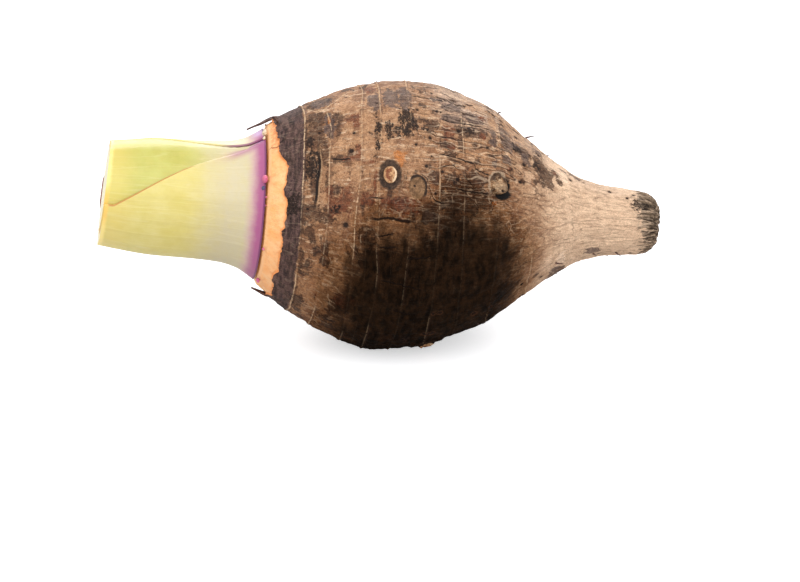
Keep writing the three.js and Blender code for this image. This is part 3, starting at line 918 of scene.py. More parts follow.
def lay_leaf_scars(bark, paint, dirt_and_shade):
    """The rings that shed leaves left, and the grooves and arcs between them."""
    nodes = bark.nodes
    _, off, shown, _ = nodes.field("scar")
    worn = nodes.step(nodes.noise(bark.skin, 0.7, 3.0), 0.36, 0.52)
    shade = nodes.product(nodes.near(off, 0.62, 0.1, 0.4), shown)
    bark.lay(shade, 0.5, colour(62, 42, 34))
    line = nodes.product(nodes.product(nodes.near(off, 0.0, 0.1, 0.26), shown), worn)
    line = nodes.product(line, nodes.step(dirt_and_shade, 0.25, 0.9, 1.0, 0.22))
    bark.lay(line, 0.9, paint.ring, "ring lines")
    _, off, shown, _ = nodes.field("groove")
    groove = nodes.product(nodes.near(off, 0.0, 0.3, 0.3), shown)
    bark.lay(nodes.product(nodes.near(off, 0.85, 0.12, 0.3), shown), 0.7, colour(176, 140, 106))
    bark.lay(groove, 0.95, colour(26, 18, 15), "grooves")
    _, off, shown, _ = nodes.field("arc")
    bark.lay(nodes.product(nodes.near(off, 0.0, 0.12, 0.25), shown), 0.75, paint.ring)


def lay_side_buds(bark):
    """The side buds, of three kinds. Returns the jitter of their edges, which the pits share."""
    nodes = bark.nodes
    _, beside_u, beside_v, reach = nodes.field("bud_place")
    _, healed, sunken, rough = nodes.field("bud_kind")
    jitter = nodes.stray(0.36, bark.skin, 0.5, 4.0, 0.6)
    u, v = (nodes.math("DIVIDE", beside, reach) for beside in (beside_u, beside_v))
    rim = nodes.away(u, v, jitter, 0.9, 1.12)
    lay_healed_buds(bark, u, nodes.away(u, v, nodes.product(jitter, 0.5), 0.52, 0.66), rim, healed)
    lay_sunken_buds(bark, u, v, rim, sunken)
    lay_rough_buds(bark, u, v, rim, rough, jitter)
    return jitter


def lay_healed_buds(bark, u, heart, rim, healed):
    """Buds that healed over: dark scar tissue round a pale knot with a seam."""
    nodes, skin = bark.nodes, bark.skin
    tissue = nodes.mix(nodes.blotch(skin, 0.9, 0.5, 0.1), colour(32, 23, 18), colour(66, 49, 38))
    bark.lay(nodes.product(nodes.step(rim, 1.12, 0.92), healed), 0.92, tissue)
    knot = nodes.mix(nodes.blotch(skin, 0.9, 0.42, 0.1), colour(196, 150, 108), colour(138, 92, 60))
    bark.lay(nodes.product(nodes.step(heart, 1.06, 0.94), healed), 1.0, knot)
    seam = nodes.product(nodes.near(heart, 0.45, 0.16, 0.14), nodes.step(u, 0.1, -0.05))
    bark.lay(nodes.product(seam, healed), 0.8, colour(120, 58, 36))
    glint = nodes.product(nodes.near(heart, 0.84, 0.06, 0.12), nodes.step(u, 0.12, 0.3))
    bark.lay(nodes.product(glint, healed), 0.9, colour(238, 208, 172))


def lay_sunken_buds(bark, u, v, rim, sunken):
    """Buds that left a shallow basin with a dark lip."""
    nodes = bark.nodes
    basin = nodes.product(nodes.step(rim, 1.02, 0.86), sunken)
    olive = nodes.blotch(bark.skin, 2.0, 0.5, 0.14)
    olive = nodes.mix(olive, colour(92, 68, 46), colour(146, 112, 80))
    bark.lay(basin, 0.8, olive)
    aside = nodes.near(rim, 1.0, 0.05, 0.12)
    lip = nodes.product(aside, nodes.step(nodes.math("SUBTRACT", u, v), -0.6, 0.3))
    bark.lay(nodes.product(lip, sunken), 1.0, colour(46, 32, 24))


def lay_rough_buds(bark, u, v, rim, rough, jitter):
    """Broken-off buds: a rough stub, painted shadow along its top, a black crescent beside it."""
    nodes, skin = bark.nodes, bark.skin
    stub = nodes.product(nodes.step(rim, 0.98, 0.84), rough)
    flesh = nodes.mix(nodes.blotch(skin, 1.5, 0.5, 0.12), colour(72, 48, 32), colour(154, 116, 82))
    flesh = nodes.paint(flesh, nodes.blotch(skin, 0.9, 0.3, 0.06), 0.6, colour(222, 194, 158))
    middle = (nodes.math("SUBTRACT", u, 0.05), nodes.math("SUBTRACT", v, 0.2))
    middle = nodes.away(*middle, jitter, 0.62, 0.5)
    flesh = nodes.paint(flesh, nodes.step(middle, 1.1, 0.6), 0.4, colour(206, 172, 136))
    bark.tone = nodes.mix(stub, bark.tone, flesh)
    # Painted shadow along the upper edge of the stub.
    upper_shadow = nodes.product(nodes.near(rim, 0.76, 0.16, 0.14), nodes.step(v, 0.05, -0.35))
    bark.lay(nodes.product(upper_shadow, rough), 0.85, colour(62, 44, 32))
    low = nodes.away(nodes.math("SUBTRACT", u, 0.22), nodes.math("SUBTRACT", v, 0.1), jitter)
    crescent = nodes.product(nodes.step(low, 1.08, 0.98), nodes.step(rim, 0.7, 0.84))
    onward = nodes.math("ADD", u, nodes.product(v, 0.3))
    crescent = nodes.product(crescent, nodes.step(onward, 0.05, 0.3))
    bark.lay(nodes.product(crescent, rough), 1.0, colour(18, 13, 11))
    pale = nodes.near(rim, 0.98, 0.04, 0.1)
    pale = nodes.product(pale, nodes.step(nodes.math("ADD", u, v), 0.4, -0.3))
    bark.lay(nodes.product(pale, rough), 0.7, colour(188, 160, 132))


def lay_pits(bark, jitter):
    """Pits that roots left, each in a darker halo."""
    nodes = bark.nodes
    _, pit_u, pit_v, pitted = nodes.field("pit")
    off = nodes.away(pit_u, pit_v, jitter)
    hole = nodes.product(nodes.step(off, 0.95, 0.5), pitted)
    bark.lay(nodes.product(nodes.step(off, 1.8, 0.9), pitted), 0.4, colour(92, 60, 42))
    bark.lay(hole, 0.94, colour(34, 22, 17), "pits")


def lay_cracks(bark):
    """Wavering cracks in the bark."""
    nodes = bark.nodes
    stray = nodes.stray(1.2, bark.skin, 0.6)
    cracked = 0.0
    for name in ("crack_front", "crack_back"):
        _, off, shown, width = nodes.field(name)
        share = nodes.math("ABSOLUTE", nodes.math("ADD", off, stray))
        share = nodes.math("DIVIDE", share, width)
        share = nodes.product(nodes.step(share, 1.3, 0.5), shown)
        cracked = nodes.math("MAXIMUM", share, cracked)
    bark.lay(cracked, 0.95, colour(28, 18, 14), "cracks")


def bark_material(paint):
    """Dry bark: tan cork under torn dark skin, with wrinkles, rings, side buds, pits and cracks."""
    material, nodes, shader = new_material("Taro bark", 0.75)
    shader["Specular IOR Level"].default_value = 0.03
    shader["Coat Roughness"].default_value = 0.6
    bark = Bark(nodes)
    grain = lay_cork(bark, paint)
    lay_painted_sheen_on_top(bark)
    black = lay_old_skin(bark, paint)
    # The middle value of this field is the dark earth and painted shade under the belly.
    _, wrinkled, raw_dirt_and_shade, tip = nodes.field("wear_and_shade")
    dirt_and_shade = warm_shade_under_belly(bark, raw_dirt_and_shade)
    wrinkles, hairs = lay_wrinkles(bark, wrinkled)
    lay_freckles(bark)
    lay_dirt_and_shade(bark, dirt_and_shade)
    lay_black_skin(bark, black)
    lay_frayed_tail(bark, tip)
    lay_leaf_scars(bark, paint, dirt_and_shade)
    jitter = lay_side_buds(bark)
    lay_pits(bark, jitter)
    lay_cracks(bark)

    # Fine speckle over everything.
    speck = nodes.step(nodes.noise(bark.skin, 2.2, 3.0, 0.75), 0.25, 0.75, 0.55, 1.38)
    shaded = nodes.add("ShaderNodeVectorMath", {0: bark.tone, "Scale": speck}, operation="SCALE")
    nodes.feed(shader["Base Color"], shaded)

    height = nodes.product(nodes.noise(bark.skin, 1.3, 4.0, 0.65), nodes.product(grain, 0.4))
    height = nodes.math("ADD", height, nodes.product(nodes.product(wrinkles, wrinkled), 0.3))
    height = nodes.math("ADD", height, nodes.product(hairs, 0.07))
    for layer, lift in BARK_LIFTS.items():
        height = nodes.math("ADD", height, nodes.product(bark.masks[layer], lift))
    nodes.feed(shader["Normal"], nodes.bump(height))
    gloss = nodes.blotch(bark.skin, 2.0, 0.5, 0.2)
    nodes.feed(shader["Roughness"], nodes.step(gloss, 0.0, 1.0, 0.6, 0.84))
    nodes.feed(shader["Coat Weight"], nodes.step(dirt_and_shade, 0.3, 0.0, 0.0, 0.3))
    return material


def cortex_material(paint):
    """The bare, peach-coloured cortex between the crown and the torn bark."""
    material, nodes, shader = new_material("Bare cortex", 0.5)
    skin, _, over, front = nodes.field("skin")
    _, along, torn, _ = nodes.field("crown_place")
    tone = nodes.mix(nodes.blotch(skin, 6.0, 0.5, 0.2), paint.cortex, colour(255, 198, 140))
    tone = nodes.mix(nodes.step(torn, 1.4, 0.0), tone, colour(236, 150, 82))
    tone = nodes.paint(tone, nodes.blotch(skin, 2.0, 0.35, 0.05), 0.2, colour(200, 110, 60))
    folds = nodes.blotch(skin, 1.8, 0.55, 0.08)
    folds = nodes.product(folds, nodes.near(nodes.math("ARCTAN2", front, over), 0.34, 0.14, 0.2))
    tone = nodes.paint(tone, folds, 0.6, colour(204, 116, 56))
    # Painted light: the cortex drawn paler down by the crown's rim, against the shade of the groove.
    tone = nodes.mix(nodes.step(along, 1.6, 0.3), tone, colour(255, 196, 140))
    _, crack_off, crack_shown, width = nodes.field("crack_front")
    line = nodes.step(nodes.math("DIVIDE", nodes.math("ABSOLUTE", crack_off), width), 1.4, 0.5)
    line = nodes.product(line, crack_shown)
    tone = nodes.paint(tone, line, 0.85, colour(150, 76, 34))
    nodes.feed(shader["Base Color"], tone)
    height = nodes.product(nodes.noise(skin, 0.9, 4.0, 0.6), 0.5)
    nodes.feed(shader["Normal"], nodes.bump(height))
    return material


def stalk_material(name, paint, green, creamy):
    """Smooth leaf-stalk skin: green towards the cut, paler and then pink at the crown."""
    material, nodes, shader = new_material(name, 0.42)
    shader["Coat Weight"].default_value = 0.15
    shader["Coat Roughness"].default_value = 0.4
    skin, *_ = nodes.field("skin")
    _, distance, margin, behind = nodes.field("stalk_place")
    tone = nodes.mix(nodes.blotch(skin, 13.0, 0.5, 0.22), green, creamy)
    from_crown = nodes.math("ADD", distance, nodes.stray(9.0, skin, 0.12, 2.0))
    tone = nodes.paint(tone, nodes.step(from_crown, 36.0, 12.0), 0.92, paint.stalk_pale)
    tone = nodes.paint(tone, nodes.step(distance, 50.0, 62.0), 0.5, colour(226, 200, 104))
    tone = nodes.paint(tone, nodes.blotch(skin, 3.5, 0.4, 0.15), 0.16, colour(206, 186, 96))
    fine = nodes.fibres(skin, 3.0, 70.0, 1.0)
    # Faint painted highlights and shade along the stalk's fibres.
    tone = nodes.paint(tone, fine["Ridge highlights"], 0.1, colour(240, 230, 190))
    tone = nodes.paint(tone, fine["Groove shade"], 0.08, colour(190, 170, 100))

    # The pink base; right at its foot, the darkest purple is partly painted shade in the groove.
    stray = nodes.stray(2.2, skin, 0.3, 3.0)
    from_base = nodes.math("ADD", distance, stray)
    above = nodes.product(nodes.step(behind, 0.5, 7.0), nodes.step(behind, 34.0, 18.0))
    lilac = nodes.mix(above, paint.stalk_pink, colour(216, 176, 222))
    tone = nodes.paint(tone, nodes.step(from_base, 8.5, 4.0), 0.55, colour(200, 142, 170))
    tone = nodes.paint(tone, nodes.step(from_base, 6.2, 2.0), 0.9, lilac)
    # Painted shade deepens the purple at the foot, in the groove at the crown.
    tone = nodes.paint(tone, nodes.step(distance, 1.3, 0.6), 0.85, colour(98, 36, 88))

    # The edge of the outer stalk: a dry brown line from the cut to its middle, then a soft flush.
    flush = nodes.product(nodes.step(margin, 5.0, 0.0), nodes.step(distance, 25.0, 9.0))
    blush = nodes.mix(nodes.step(distance, 19.0, 12.0), colour(206, 170, 130), colour(164, 84, 132))
    tone = nodes.paint(tone, flush, 0.75, blush)
    dry = nodes.product(nodes.step(margin, 0.36, 0.14), nodes.step(distance, 27.0, 33.0))
    tone = nodes.paint(tone, dry, 0.9, paint.margin)
    far = nodes.product(nodes.near(behind, 0.0, 0.25, 0.3), nodes.step(distance, 38.0, 28.0))
    edge = nodes.mix(nodes.step(distance, 20.0, 12.0), colour(206, 190, 124), colour(128, 58, 104))
    tone = nodes.paint(tone, far, 0.8, edge)
    to_cut = nodes.field("cut_place")[3]
    near_cut = nodes.math("ADD", to_cut, nodes.product(stray, 0.5))
    yellowed = nodes.product(nodes.step(near_cut, 2.2, 0.6), nodes.step(margin, 40.0, 24.0))
    browner = nodes.mix(nodes.step(margin, 3.0, 12.0), colour(246, 198, 98), colour(250, 226, 142))
    tone = nodes.paint(tone, yellowed, 0.85, browner)
    nodes.feed(shader["Base Color"], tone)
    height = nodes.product(fine["Relief"], 0.018)
    height = nodes.math("ADD", height, nodes.product(nodes.noise(skin, 0.5, 3.0), 0.08))
    nodes.feed(shader["Normal"], nodes.bump(height))
    shader["Subsurface Weight"].default_value = 0.15
    shader["Subsurface Radius"].default_value = (1.0, 0.8, 0.3)
    shader["Subsurface Scale"].default_value = 0.002
    return material


def cut_material(paint):
    """The knife-cut end of a leaf stalk: pale, wet and full of air channels."""
    material, nodes, shader = new_material("Cut leaf stalk", 0.45)
    _, up, forward, rim = nodes.field("cut_place")
    flat = nodes.add("ShaderNodeCombineXYZ", {0: up, 1: forward})
    cells = nodes.add(
        "ShaderNodeTexVoronoi",
        {"Vector": flat, "Scale": 0.62, "Randomness": 0.9},
        "Distance",
        feature="DISTANCE_TO_EDGE",
    )
    wall = nodes.step(cells, 0.16, 0.03)
    tone = nodes.mix(nodes.blotch(flat, 5.0, 0.5, 0.2), paint.cut_face, colour(250, 240, 196))
    tone = nodes.paint(tone, wall, 0.4, colour(255, 252, 236))
    tone = nodes.mix(nodes.step(rim, 1.5, 0.5), tone, colour(238, 196, 96))
    tone = nodes.paint(tone, nodes.step(rim, 0.5, 0.1), 0.6, colour(206, 130, 66))
    lip = nodes.near(nodes.math("ARCTAN2", forward, up), -1.84, 0.3, 0.08)
    lip = nodes.product(lip, nodes.step(rim, 0.75, 0.45))
    tone = nodes.paint(tone, lip, 0.9, colour(138, 76, 70))
    nodes.feed(shader["Base Color"], tone)
    nodes.feed(shader["Normal"], nodes.bump(nodes.product(wall, 0.25)))
    return material


def flake_material():
    """Papery remnants of old leaf bases, and dry rootlets."""
    material, nodes, shader = new_material("Papery flakes", 0.8)
    skin, *_ = nodes.field("skin")
    cloud = nodes.blotch(skin, 2.5, 0.5, 0.2)
    tone = nodes.mix(cloud, colour(62, 36, 30), colour(112, 80, 68))
    lines = nodes.fibres(skin, 1.5, 16.0, 0.6)
    # Painted shade in the grooves of the flake's fibres.
    tone = nodes.paint(tone, lines["Groove shade"], 0.6, colour(30, 20, 20))
    nodes.feed(shader["Base Color"], tone)
    nodes.feed(shader["Normal"], nodes.bump(nodes.product(lines["Relief"], 0.1)))
    return material


def nub_material(paint):
    """Pink, moist nubs of new growth."""
    material, nodes, shader = new_material("New growth", 0.35)
    _, length, blue, cream = nodes.field("nub_place")
    skin, *_ = nodes.field("skin")
    tone = nodes.mix(length, colour(150, 56, 104), colour(228, 118, 150))
    cloud = nodes.blotch(skin, 1.0, 0.5, 0.2)
    tone = nodes.paint(tone, cloud, 0.3, paint.stalk_pink)
    tone = nodes.mix(blue, tone, nodes.mix(length, colour(50, 34, 70), colour(92, 88, 124)))
    tone = nodes.mix(cream, tone, nodes.mix(cloud, colour(236, 220, 190), colour(190, 160, 130)))
    nodes.feed(shader["Base Color"], tone)
    return material


# ---------------------------------------------------------------- sizes and colours to change


def colour_property(name, description, default):
    return FloatVectorProperty(
        name=name, description=description, subtype="COLOR", size=4, min=0, max=1, default=default
    )


def length_property(name, description, millimetres):
    return FloatProperty(
        name=name, description=description, default=millimetres * MM, min=0, unit="LENGTH"
    )


class TARO_PG_corm(bpy.types.PropertyGroup):
    """Relief and colours of the corm."""

    bark_thickness: length_property("Bark thickness", "How far the torn bark stands proud", 0.7)
    ring_height: length_property("Ring height", "Height of the ridge at each leaf scar", 0.35)
    wrinkle_depth: length_property("Wrinkle depth", "Depth of the wrinkles along the corm", 0.3)
    lump_height: length_property("Lump height", "Height of the slow lumps in the bark", 0.45)
    rows: IntProperty(name="Rows", description="Rings of points along it", default=226, min=60)
    sides: IntProperty(name="Sides", description="Points in each ring", default=416, min=60)
    bark_light: colour_property("Pale bark", "Paler tone of the cork", colour(184, 140, 103))
    bark_dark: colour_property("Dark bark", "Darker tone of the cork", colour(140, 98, 68))
    bark_tail: colour_property("Tail bark", "Cork towards the tail", colour(230, 196, 164))
    flake_grey: colour_property("Grey skin", "Old grey skin on the cork", colour(64, 50, 48))
    ring: colour_property("Rings", "Pale line of a leaf scar", colour(216, 182, 146))
    cortex: colour_property("Cortex", "Bare cortex at the crown", colour(252, 174, 104))


class TARO_PG_stalks(bpy.types.PropertyGroup):
    """Sizes and colours of the two leaf stalks."""

    rib_depth: length_property("Rib depth", "Depth of the faint ribs along a stalk", 0.12)
    nub_length: length_property("Nub length", "Length of the largest new nub at the crown", 2.8)
    inner_green: colour_property("Inner stalk", "Skin of the inner stalk", colour(182, 176, 78))
    outer_green: colour_property("Outer stalk", "Skin of the outer stalk", colour(212, 196, 106))
    stalk_pale: colour_property("Pale base", "Skin nearer to the crown", colour(202, 190, 158))
    stalk_pink: colour_property("Pink base", "Blush at the crown", colour(164, 70, 128))
    margin: colour_property("Margin", "Dry edge of the outer stalk", colour(186, 128, 56))
    cut_face: colour_property("Cut face", "Flesh at the knife cut", colour(255, 248, 214))


class TARO_PG_loose(bpy.types.PropertyGroup):
    """Papery remnants at the torn edge, and rootlets."""

    flake_thickness: length_property("Flake thickness", "Thickness of a papery remnant", 0.35)
    rootlet_length: length_property("Rootlet length", "Length of the longest rootlet", 4.5)
    rootlets: IntProperty(name="Rootlets", description="How many by chance", default=22, min=0)


class TARO_PG_stage(bpy.types.PropertyGroup):
    """Floor, light and camera."""

    sun_strength: FloatProperty(name="Light", description="Overhead soft light", default=1.75, min=0)
    back_strength: FloatProperty(name="Rim", description="Soft light from behind", default=1.2, min=0)
    sky_strength: FloatProperty(name="Fill", description="Light from all round", default=0.88, min=0)
    floor_glow: FloatProperty(name="Floor", description="How white it looks", default=0.55, min=0)
    camera_distance: length_property("Camera distance", "From the middle of the belly", 840)
    azimuth: FloatProperty(
        name="Azimuth", description="Where the camera stands", default=radians(-4), subtype="ANGLE"
    )
    elevation: FloatProperty(
        name="Elevation", description="Camera height", default=radians(18.5), subtype="ANGLE"
    )


# ---------------------------------------------------------------- the corm


def corm_rows(count):
    """Stations of the corm's rings, close together at the torn edge and the leaf scars."""
    fine = np.linspace(0.15, 166.0, 4000)
    density = np.full(fine.shape, 1 / 1.15)
    density += 3.2 * np.exp(-(((fine - np.mean(TORN_EDGE)) / 0.8) ** 4))
    for scar in SCARS:
        density += 2.4 * np.exp(-(((fine - scar) / 0.9) ** 4))
    total = np.append(0, np.cumsum((density[1:] + density[:-1]) / 2 * np.diff(fine)))
    return np.interp(np.linspace(0, total[-1], count), total, fine)


def corm_stations(base, angle):
    """The base stations, moved so that rings of points follow the torn edge and the leaf scars."""
    torn, torn_mean = torn_station(angle), np.mean(TORN_EDGE)
    knots, moved = [0], [0 * angle]
    for at, shift, half in (
        (torn_mean, torn - torn_mean, 0.5),
        *((scar, scar_shift(scar, angle), 1.0) for scar in SCARS),
    ):
        knots += [at - half, at + half]
        moved += [at + shift - half, at + shift + half]
    knots.append(CORM_WALL[-1, 0])
    moved.append(0 * angle + CORM_WALL[-1, 0])
    moved = np.array(moved)
    return np.stack([np.interp(base, knots, column) for column in moved.T], 1), torn


def corm_relief(skin, torn, settings, fields):
    """Height of the fine relief over the corm's smooth skin, in millimetres."""
    station, angle, _ = skin
    place_there = fields["skin"]
    past = station - torn[None, :]
    height = -settings.bark_thickness / MM * smooth(0.25, -0.25, past)
    curl = np.clip(wavering(angle[0], 0.12, 3.0), 0, 1)[None, :] * 1.6
    height = height + curl * np.exp(-np.maximum(past, 0) / 1.3) * (past > -0.1)
    bark = smooth(-0.2, 0.4, past)

    off, shown = fields["scar"][..., 0], fields["scar"][..., 1]
    ridge = np.exp(-((off / 0.42) ** 2)) - 0.9 * np.exp(-(((off - 1.0) / 0.5) ** 2))
    height = height + settings.ring_height / MM * ridge * (0.35 + 0.65 * shown) * bark
    step_down = 0.16 * np.tanh(off / 0.8) * np.exp(-((off / 4) ** 2))
    height = height + step_down * bark

    stretched = place_there * (0.09, 0.55, 0.55)
    folds = fractal(stretched, 1.0, 3, 7.3)
    wrinkled = fields["wear_and_shade"][..., 0]
    creases = np.exp(-((folds / 0.09) ** 2))
    height = height - settings.wrinkle_depth / MM * creases * wrinkled * bark
    height = height + 0.5 * settings.wrinkle_depth / MM * folds * wrinkled * bark
    lumps = fractal(place_there, 13.0, 3, 1.7)
    rough = fractal(place_there, 3.2, 3, 4.1)
    height = height + settings.lump_height / MM * lumps * smooth(0, 8, station)
    height = height + 0.14 * rough * bark

    for name, column, lift in (
        *(("flakes", 0, 0.16), ("flakes", 1, 0.14), ("flakes", 2, 0.18)),
        *(("tones", 0, 0.08), ("tones", 1, -0.12)),
    ):
        edge = fields[name][..., column] + 0.25 * rough
        height = height + lift * smooth(0.42, 0.58, edge) * bark
    u, v, reach = np.moveaxis(fields["bud_place"], -1, 0)
    healed, sunken, broken = np.moveaxis(fields["bud_kind"], -1, 0)
    away = np.hypot(u, v) / reach
    height = height - healed * 0.16 * reach * np.exp(-(((away - 0.76) / 0.16) ** 2))
    height = height + healed * 0.06 * reach * np.exp(-(((away - 1.12) / 0.14) ** 2))
    height = height - sunken * 0.9 * smooth(1.05, 0.6, away)
    height = height + sunken * 0.35 * np.exp(-(((away - 1.15) / 0.12) ** 2))
    low = np.hypot(u / reach - 0.22, v / reach - 0.1)
    crescent = smooth(1.1, 0.92, low) * smooth(0.7, 0.9, away)
    height = height + broken * (0.5 * np.exp(-((away / 0.8) ** 4)) - 2.2 * crescent)
    height = height + broken * 0.25 * rough * smooth(1, 0.8, away)
    groove_off, groove_shown, _ = np.moveaxis(fields["groove"], -1, 0)
    height = height - 0.5 * groove_shown * np.exp(-((groove_off / 0.45) ** 2))
    pit_u, pit_v, pitted = np.moveaxis(fields["pit"], -1, 0)
    height = height - 0.5 * pitted * np.exp(-(np.hypot(pit_u, pit_v) ** 2))
    for name in ("crack_front", "crack_back"):
        crack, crack_shown, width = np.moveaxis(fields[name], -1, 0)
        depth = 0.5 * np.exp(-((crack / np.maximum(1.6 * width, 0.4)) ** 2))
        height = height - depth * crack_shown * np.minimum(width / 0.35, 1.5)
    frayed = smooth(157, 166, station)
    return height + frayed * (0.7 * fractal(place_there, 1.8, 4, 9.2) - 0.5 * creases)


def corm_fields(skin, torn):
    """Everything that the bark's relief and colours are drawn from, over a grid of the skin."""
    station, angle, radius = skin
    rng = np.random.default_rng(41)
    span = 50 * (np.maximum(radius, 4) / 50) ** 0.35
    grown = {kind: with_chance(marks, rng) for kind, marks in STAINS.items()}
    stains = {kind: stain_field(skin, marks) for kind, marks in grown.items()}
    chance_pits = [(at, a, r) for at, a, r in with_chance(PITS, rng, 2)]
    past = station - torn[None, :]
    band = 0.5 + 0.35 * np.minimum((SCARS[0] - station) / 3, 1)
    band = np.where(past > -0.3, band, 0)
    bud_place, bud_kind = bud_fields(skin)
    degrees = np.degrees(angle)
    from_top = np.abs((degrees + 180) % 360 - 180)
    wrinkled = smooth(52, 72, station) * (0.45 + 0.55 * smooth(75, 45, from_top))
    wrinkled = wrinkled * smooth(128, 104, station) + 0.45 * smooth(104, 128, station)
    wrinkled = np.maximum(wrinkled, 0.2)
    # Darker away from the top, towards the underside: dark earth there, and painted shade laid into the
    # colour.
    higher = 14 * np.exp(-(((station - 80) / 16) ** 2)) - 10 * smooth(44, 28, station)
    dirt_and_shade = smooth(38 - higher, 102 - higher, from_top)
    dirt_and_shade = dirt_and_shade * smooth(130, 95, station) * smooth(0, 48, station)
    tip = 0.5 + 0.12 * (station - 160.5 + 2 * np.cos(angle))
    crown = np.stack([station, -past, band], -1)
    return {
        "skin": np.stack([station, span * np.cos(angle), span * np.sin(angle)], -1),
        "flakes": np.stack([stains["black"], stains["dark"], stains["grey"]], -1),
        "tones": np.stack([stains["red"], stains["tan"], stains["orange"]], -1),
        "wear_and_shade": np.stack([wrinkled, dirt_and_shade, tip], -1),
        "scar": scar_field(station, angle),
        "bud_place": bud_place,
        "bud_kind": bud_kind,
        "pit": nearest_field(skin, chance_pits, 2.2),
        "crack_front": crack_field(skin, [*CRACKS, (0.3, (0.4, 29), (3, 31), (6, 28))]),
        "crack_back": crack_field(skin, chance_cracks(rng, 16)),
        "groove": groove_field(station, angle),
        "arc": crack_field(skin, [(0.2, *ARC)]),
        "crown_place": crown,
    }


class TARO_OT_corm(bpy.types.Operator):
    """Grow the corm: bark, rings, side buds and the bare cortex at the crown"""

    bl_idname = "taro.corm"
    bl_label = "Corm"

    def execute(self, context):
        settings = context.scene.taro_corm
        angle = np.linspace(0, 2 * pi, settings.sides, endpoint=False)
        station, torn = corm_stations(corm_rows(settings.rows), angle)
        tail = CORM_WALL[CORM_WALL[:, 0] > 166.05]
        tail = tail[np.linspace(0, len(tail) - 2, 14).astype(int)]
        station = np.vstack([station, np.repeat(tail[:, :1], settings.sides, 1)])
        radius = outline_radius(station)
        radius[-len(tail) :] = tail[:, 1:]
        angles = np.repeat(angle[None, :], len(station), 0)
        skin = (station, angles, np.maximum(radius, 1))
        fields = corm_fields(skin, torn)
        points = corm_point(station, angles, radius)
        relief = corm_relief(skin, torn, settings, fields)
        relief = relief * smooth(0, 4, radius)
        points = points + outward(points) * relief[..., None]
        points[..., 2] = np.maximum(points[..., 2], FLOOR_GAP)

        crown, tip = frames(0.1)[0], points[-1].mean(0) + frames(169)[1] * 0.3
        flat = np.concatenate([points.reshape(-1, 3), [crown, tip]])
        rows, sides = station.shape
        faces = tube_faces(rows, sides)
        first, last = rows * sides, rows * sides + 1
        faces = [face[::-1] for face in faces]
        faces += [(first, side, (side + 1) % sides) for side in range(sides)]
        end = (rows - 1) * sides
        faces += [(last, end + (side + 1) % sides, end + side) for side in range(sides)]
        kept = {}
        for name, values in fields.items():
            values = values.reshape(-1, 3)
            kept[name] = np.concatenate([values, values[:1], values[-1:]])
        bare = (station - torn[None, :])[:-1].reshape(-1) < 0
        parts = [*bare.astype(int), *([1] * sides), *([0] * sides)]
        corm = make_object("corm_skin", flat, faces, kept, parts)
        finish_piece(corm, "bark", (bark_material(settings), cortex_material(settings)), "corm")
        return {"FINISHED"}


# ---------------------------------------------------------------- the leaf stalks

STALK_LENGTH = 63.5
CUT_SLANT, CUT_TURN = 2.3, 4.3  # degrees that the knife leaned over, and turned its back to the crown
GAP = 0.3
STUB_OUTLINE = curve(
    [(0, 31.6), (3.5, 29.2), (8, 26.8), (15, 25.1), (26, 24.4), (44, 24), (58, 22.5), (70, 20.8)]
)
WALL, MARGIN = 0.36, 0.9
SLIT = {"crown": (13, 2), "cut": (27, 59)}
INNER_STALK_PROUD = 0.4


def stub_radius(distance):
    return np.interp(distance, STUB_OUTLINE[:, 0], STUB_OUTLINE[:, 1])


def slit_at(distance):
    """The slit's middle and half width at a distance from the crown, in radians."""
    share = np.clip(distance / (STALK_LENGTH - 2.0), 0, 1) ** 1.5
    crown, cut = np.radians(SLIT["crown"]), np.radians(SLIT["cut"])
    return tuple(crown[part] + (cut[part] - crown[part]) * share for part in (0, 1))


def hollow_at(distance, angle):
    """Radius of the hollow in the outer stalk."""
    radius = stub_radius(distance)
    middle, half = slit_at(distance)
    off = np.abs((angle - middle + pi) % (2 * pi) - pi)
    past = np.maximum(off - half, 0) / (pi - half)
    return radius - MARGIN - (WALL * radius - MARGIN) * np.sin(past * pi / 2) ** 1.5


def knife(proud):
    """A point of the knife cut, and its direction towards the crown."""
    centre, along, top, front = frames(-STALK_LENGTH - proud)
    leaning = along * cos(radians(CUT_SLANT)) - top * sin(radians(CUT_SLANT))
    return centre, leaning * cos(radians(CUT_TURN)) + front * sin(radians(CUT_TURN))


def to_the_cut(surface, columns, proud):
    """How far from the crown each column of a stalk's surface meets the knife."""
    centre, facing = knife(proud)
    low, high = np.full(columns, 45.0), np.full(columns, 69.0)
    for _ in range(30):
        middle = (low + high) / 2
        kept = (surface(middle[None, :])[0] - centre) @ facing > 0
        low, high = np.where(kept, middle, low), np.where(kept, high, middle)
    return low


def stalk_skin(distance, angle, radius):
    """Straightened place on a stalk's skin, for lengthwise fibres."""
    return np.stack([distance, radius * np.cos(angle), radius * np.sin(angle)], -1)


def ribs(distance, angle, depth):
    """Height of the faint ribs along a stalk."""
    waves = np.sin(angle * 17 + 0.6 * np.sin(angle * 3)) + 0.6 * np.sin(angle * 41 + distance / 30)
    return depth * 0.4 * waves


def wall_section(across, rounded):
    """The outer stalk's wall in section, point by point: how far round the stalk it is, how deep
    from the skin to the hollow, and at which of the two rounded edges."""
    wall = np.linspace(0, 1, across)
    lip = np.linspace(0, 1, rounded + 2)[1:-1]
    share = np.concatenate([wall, np.ones(rounded), wall[::-1], np.zeros(rounded)])
    depth = np.concatenate([0 * wall, lip, 0 * wall + 1, lip[::-1]])
    side = np.concatenate([0 * wall, 0 * lip + 1, 0 * wall, 0 * lip - 1])
    return share, depth, side


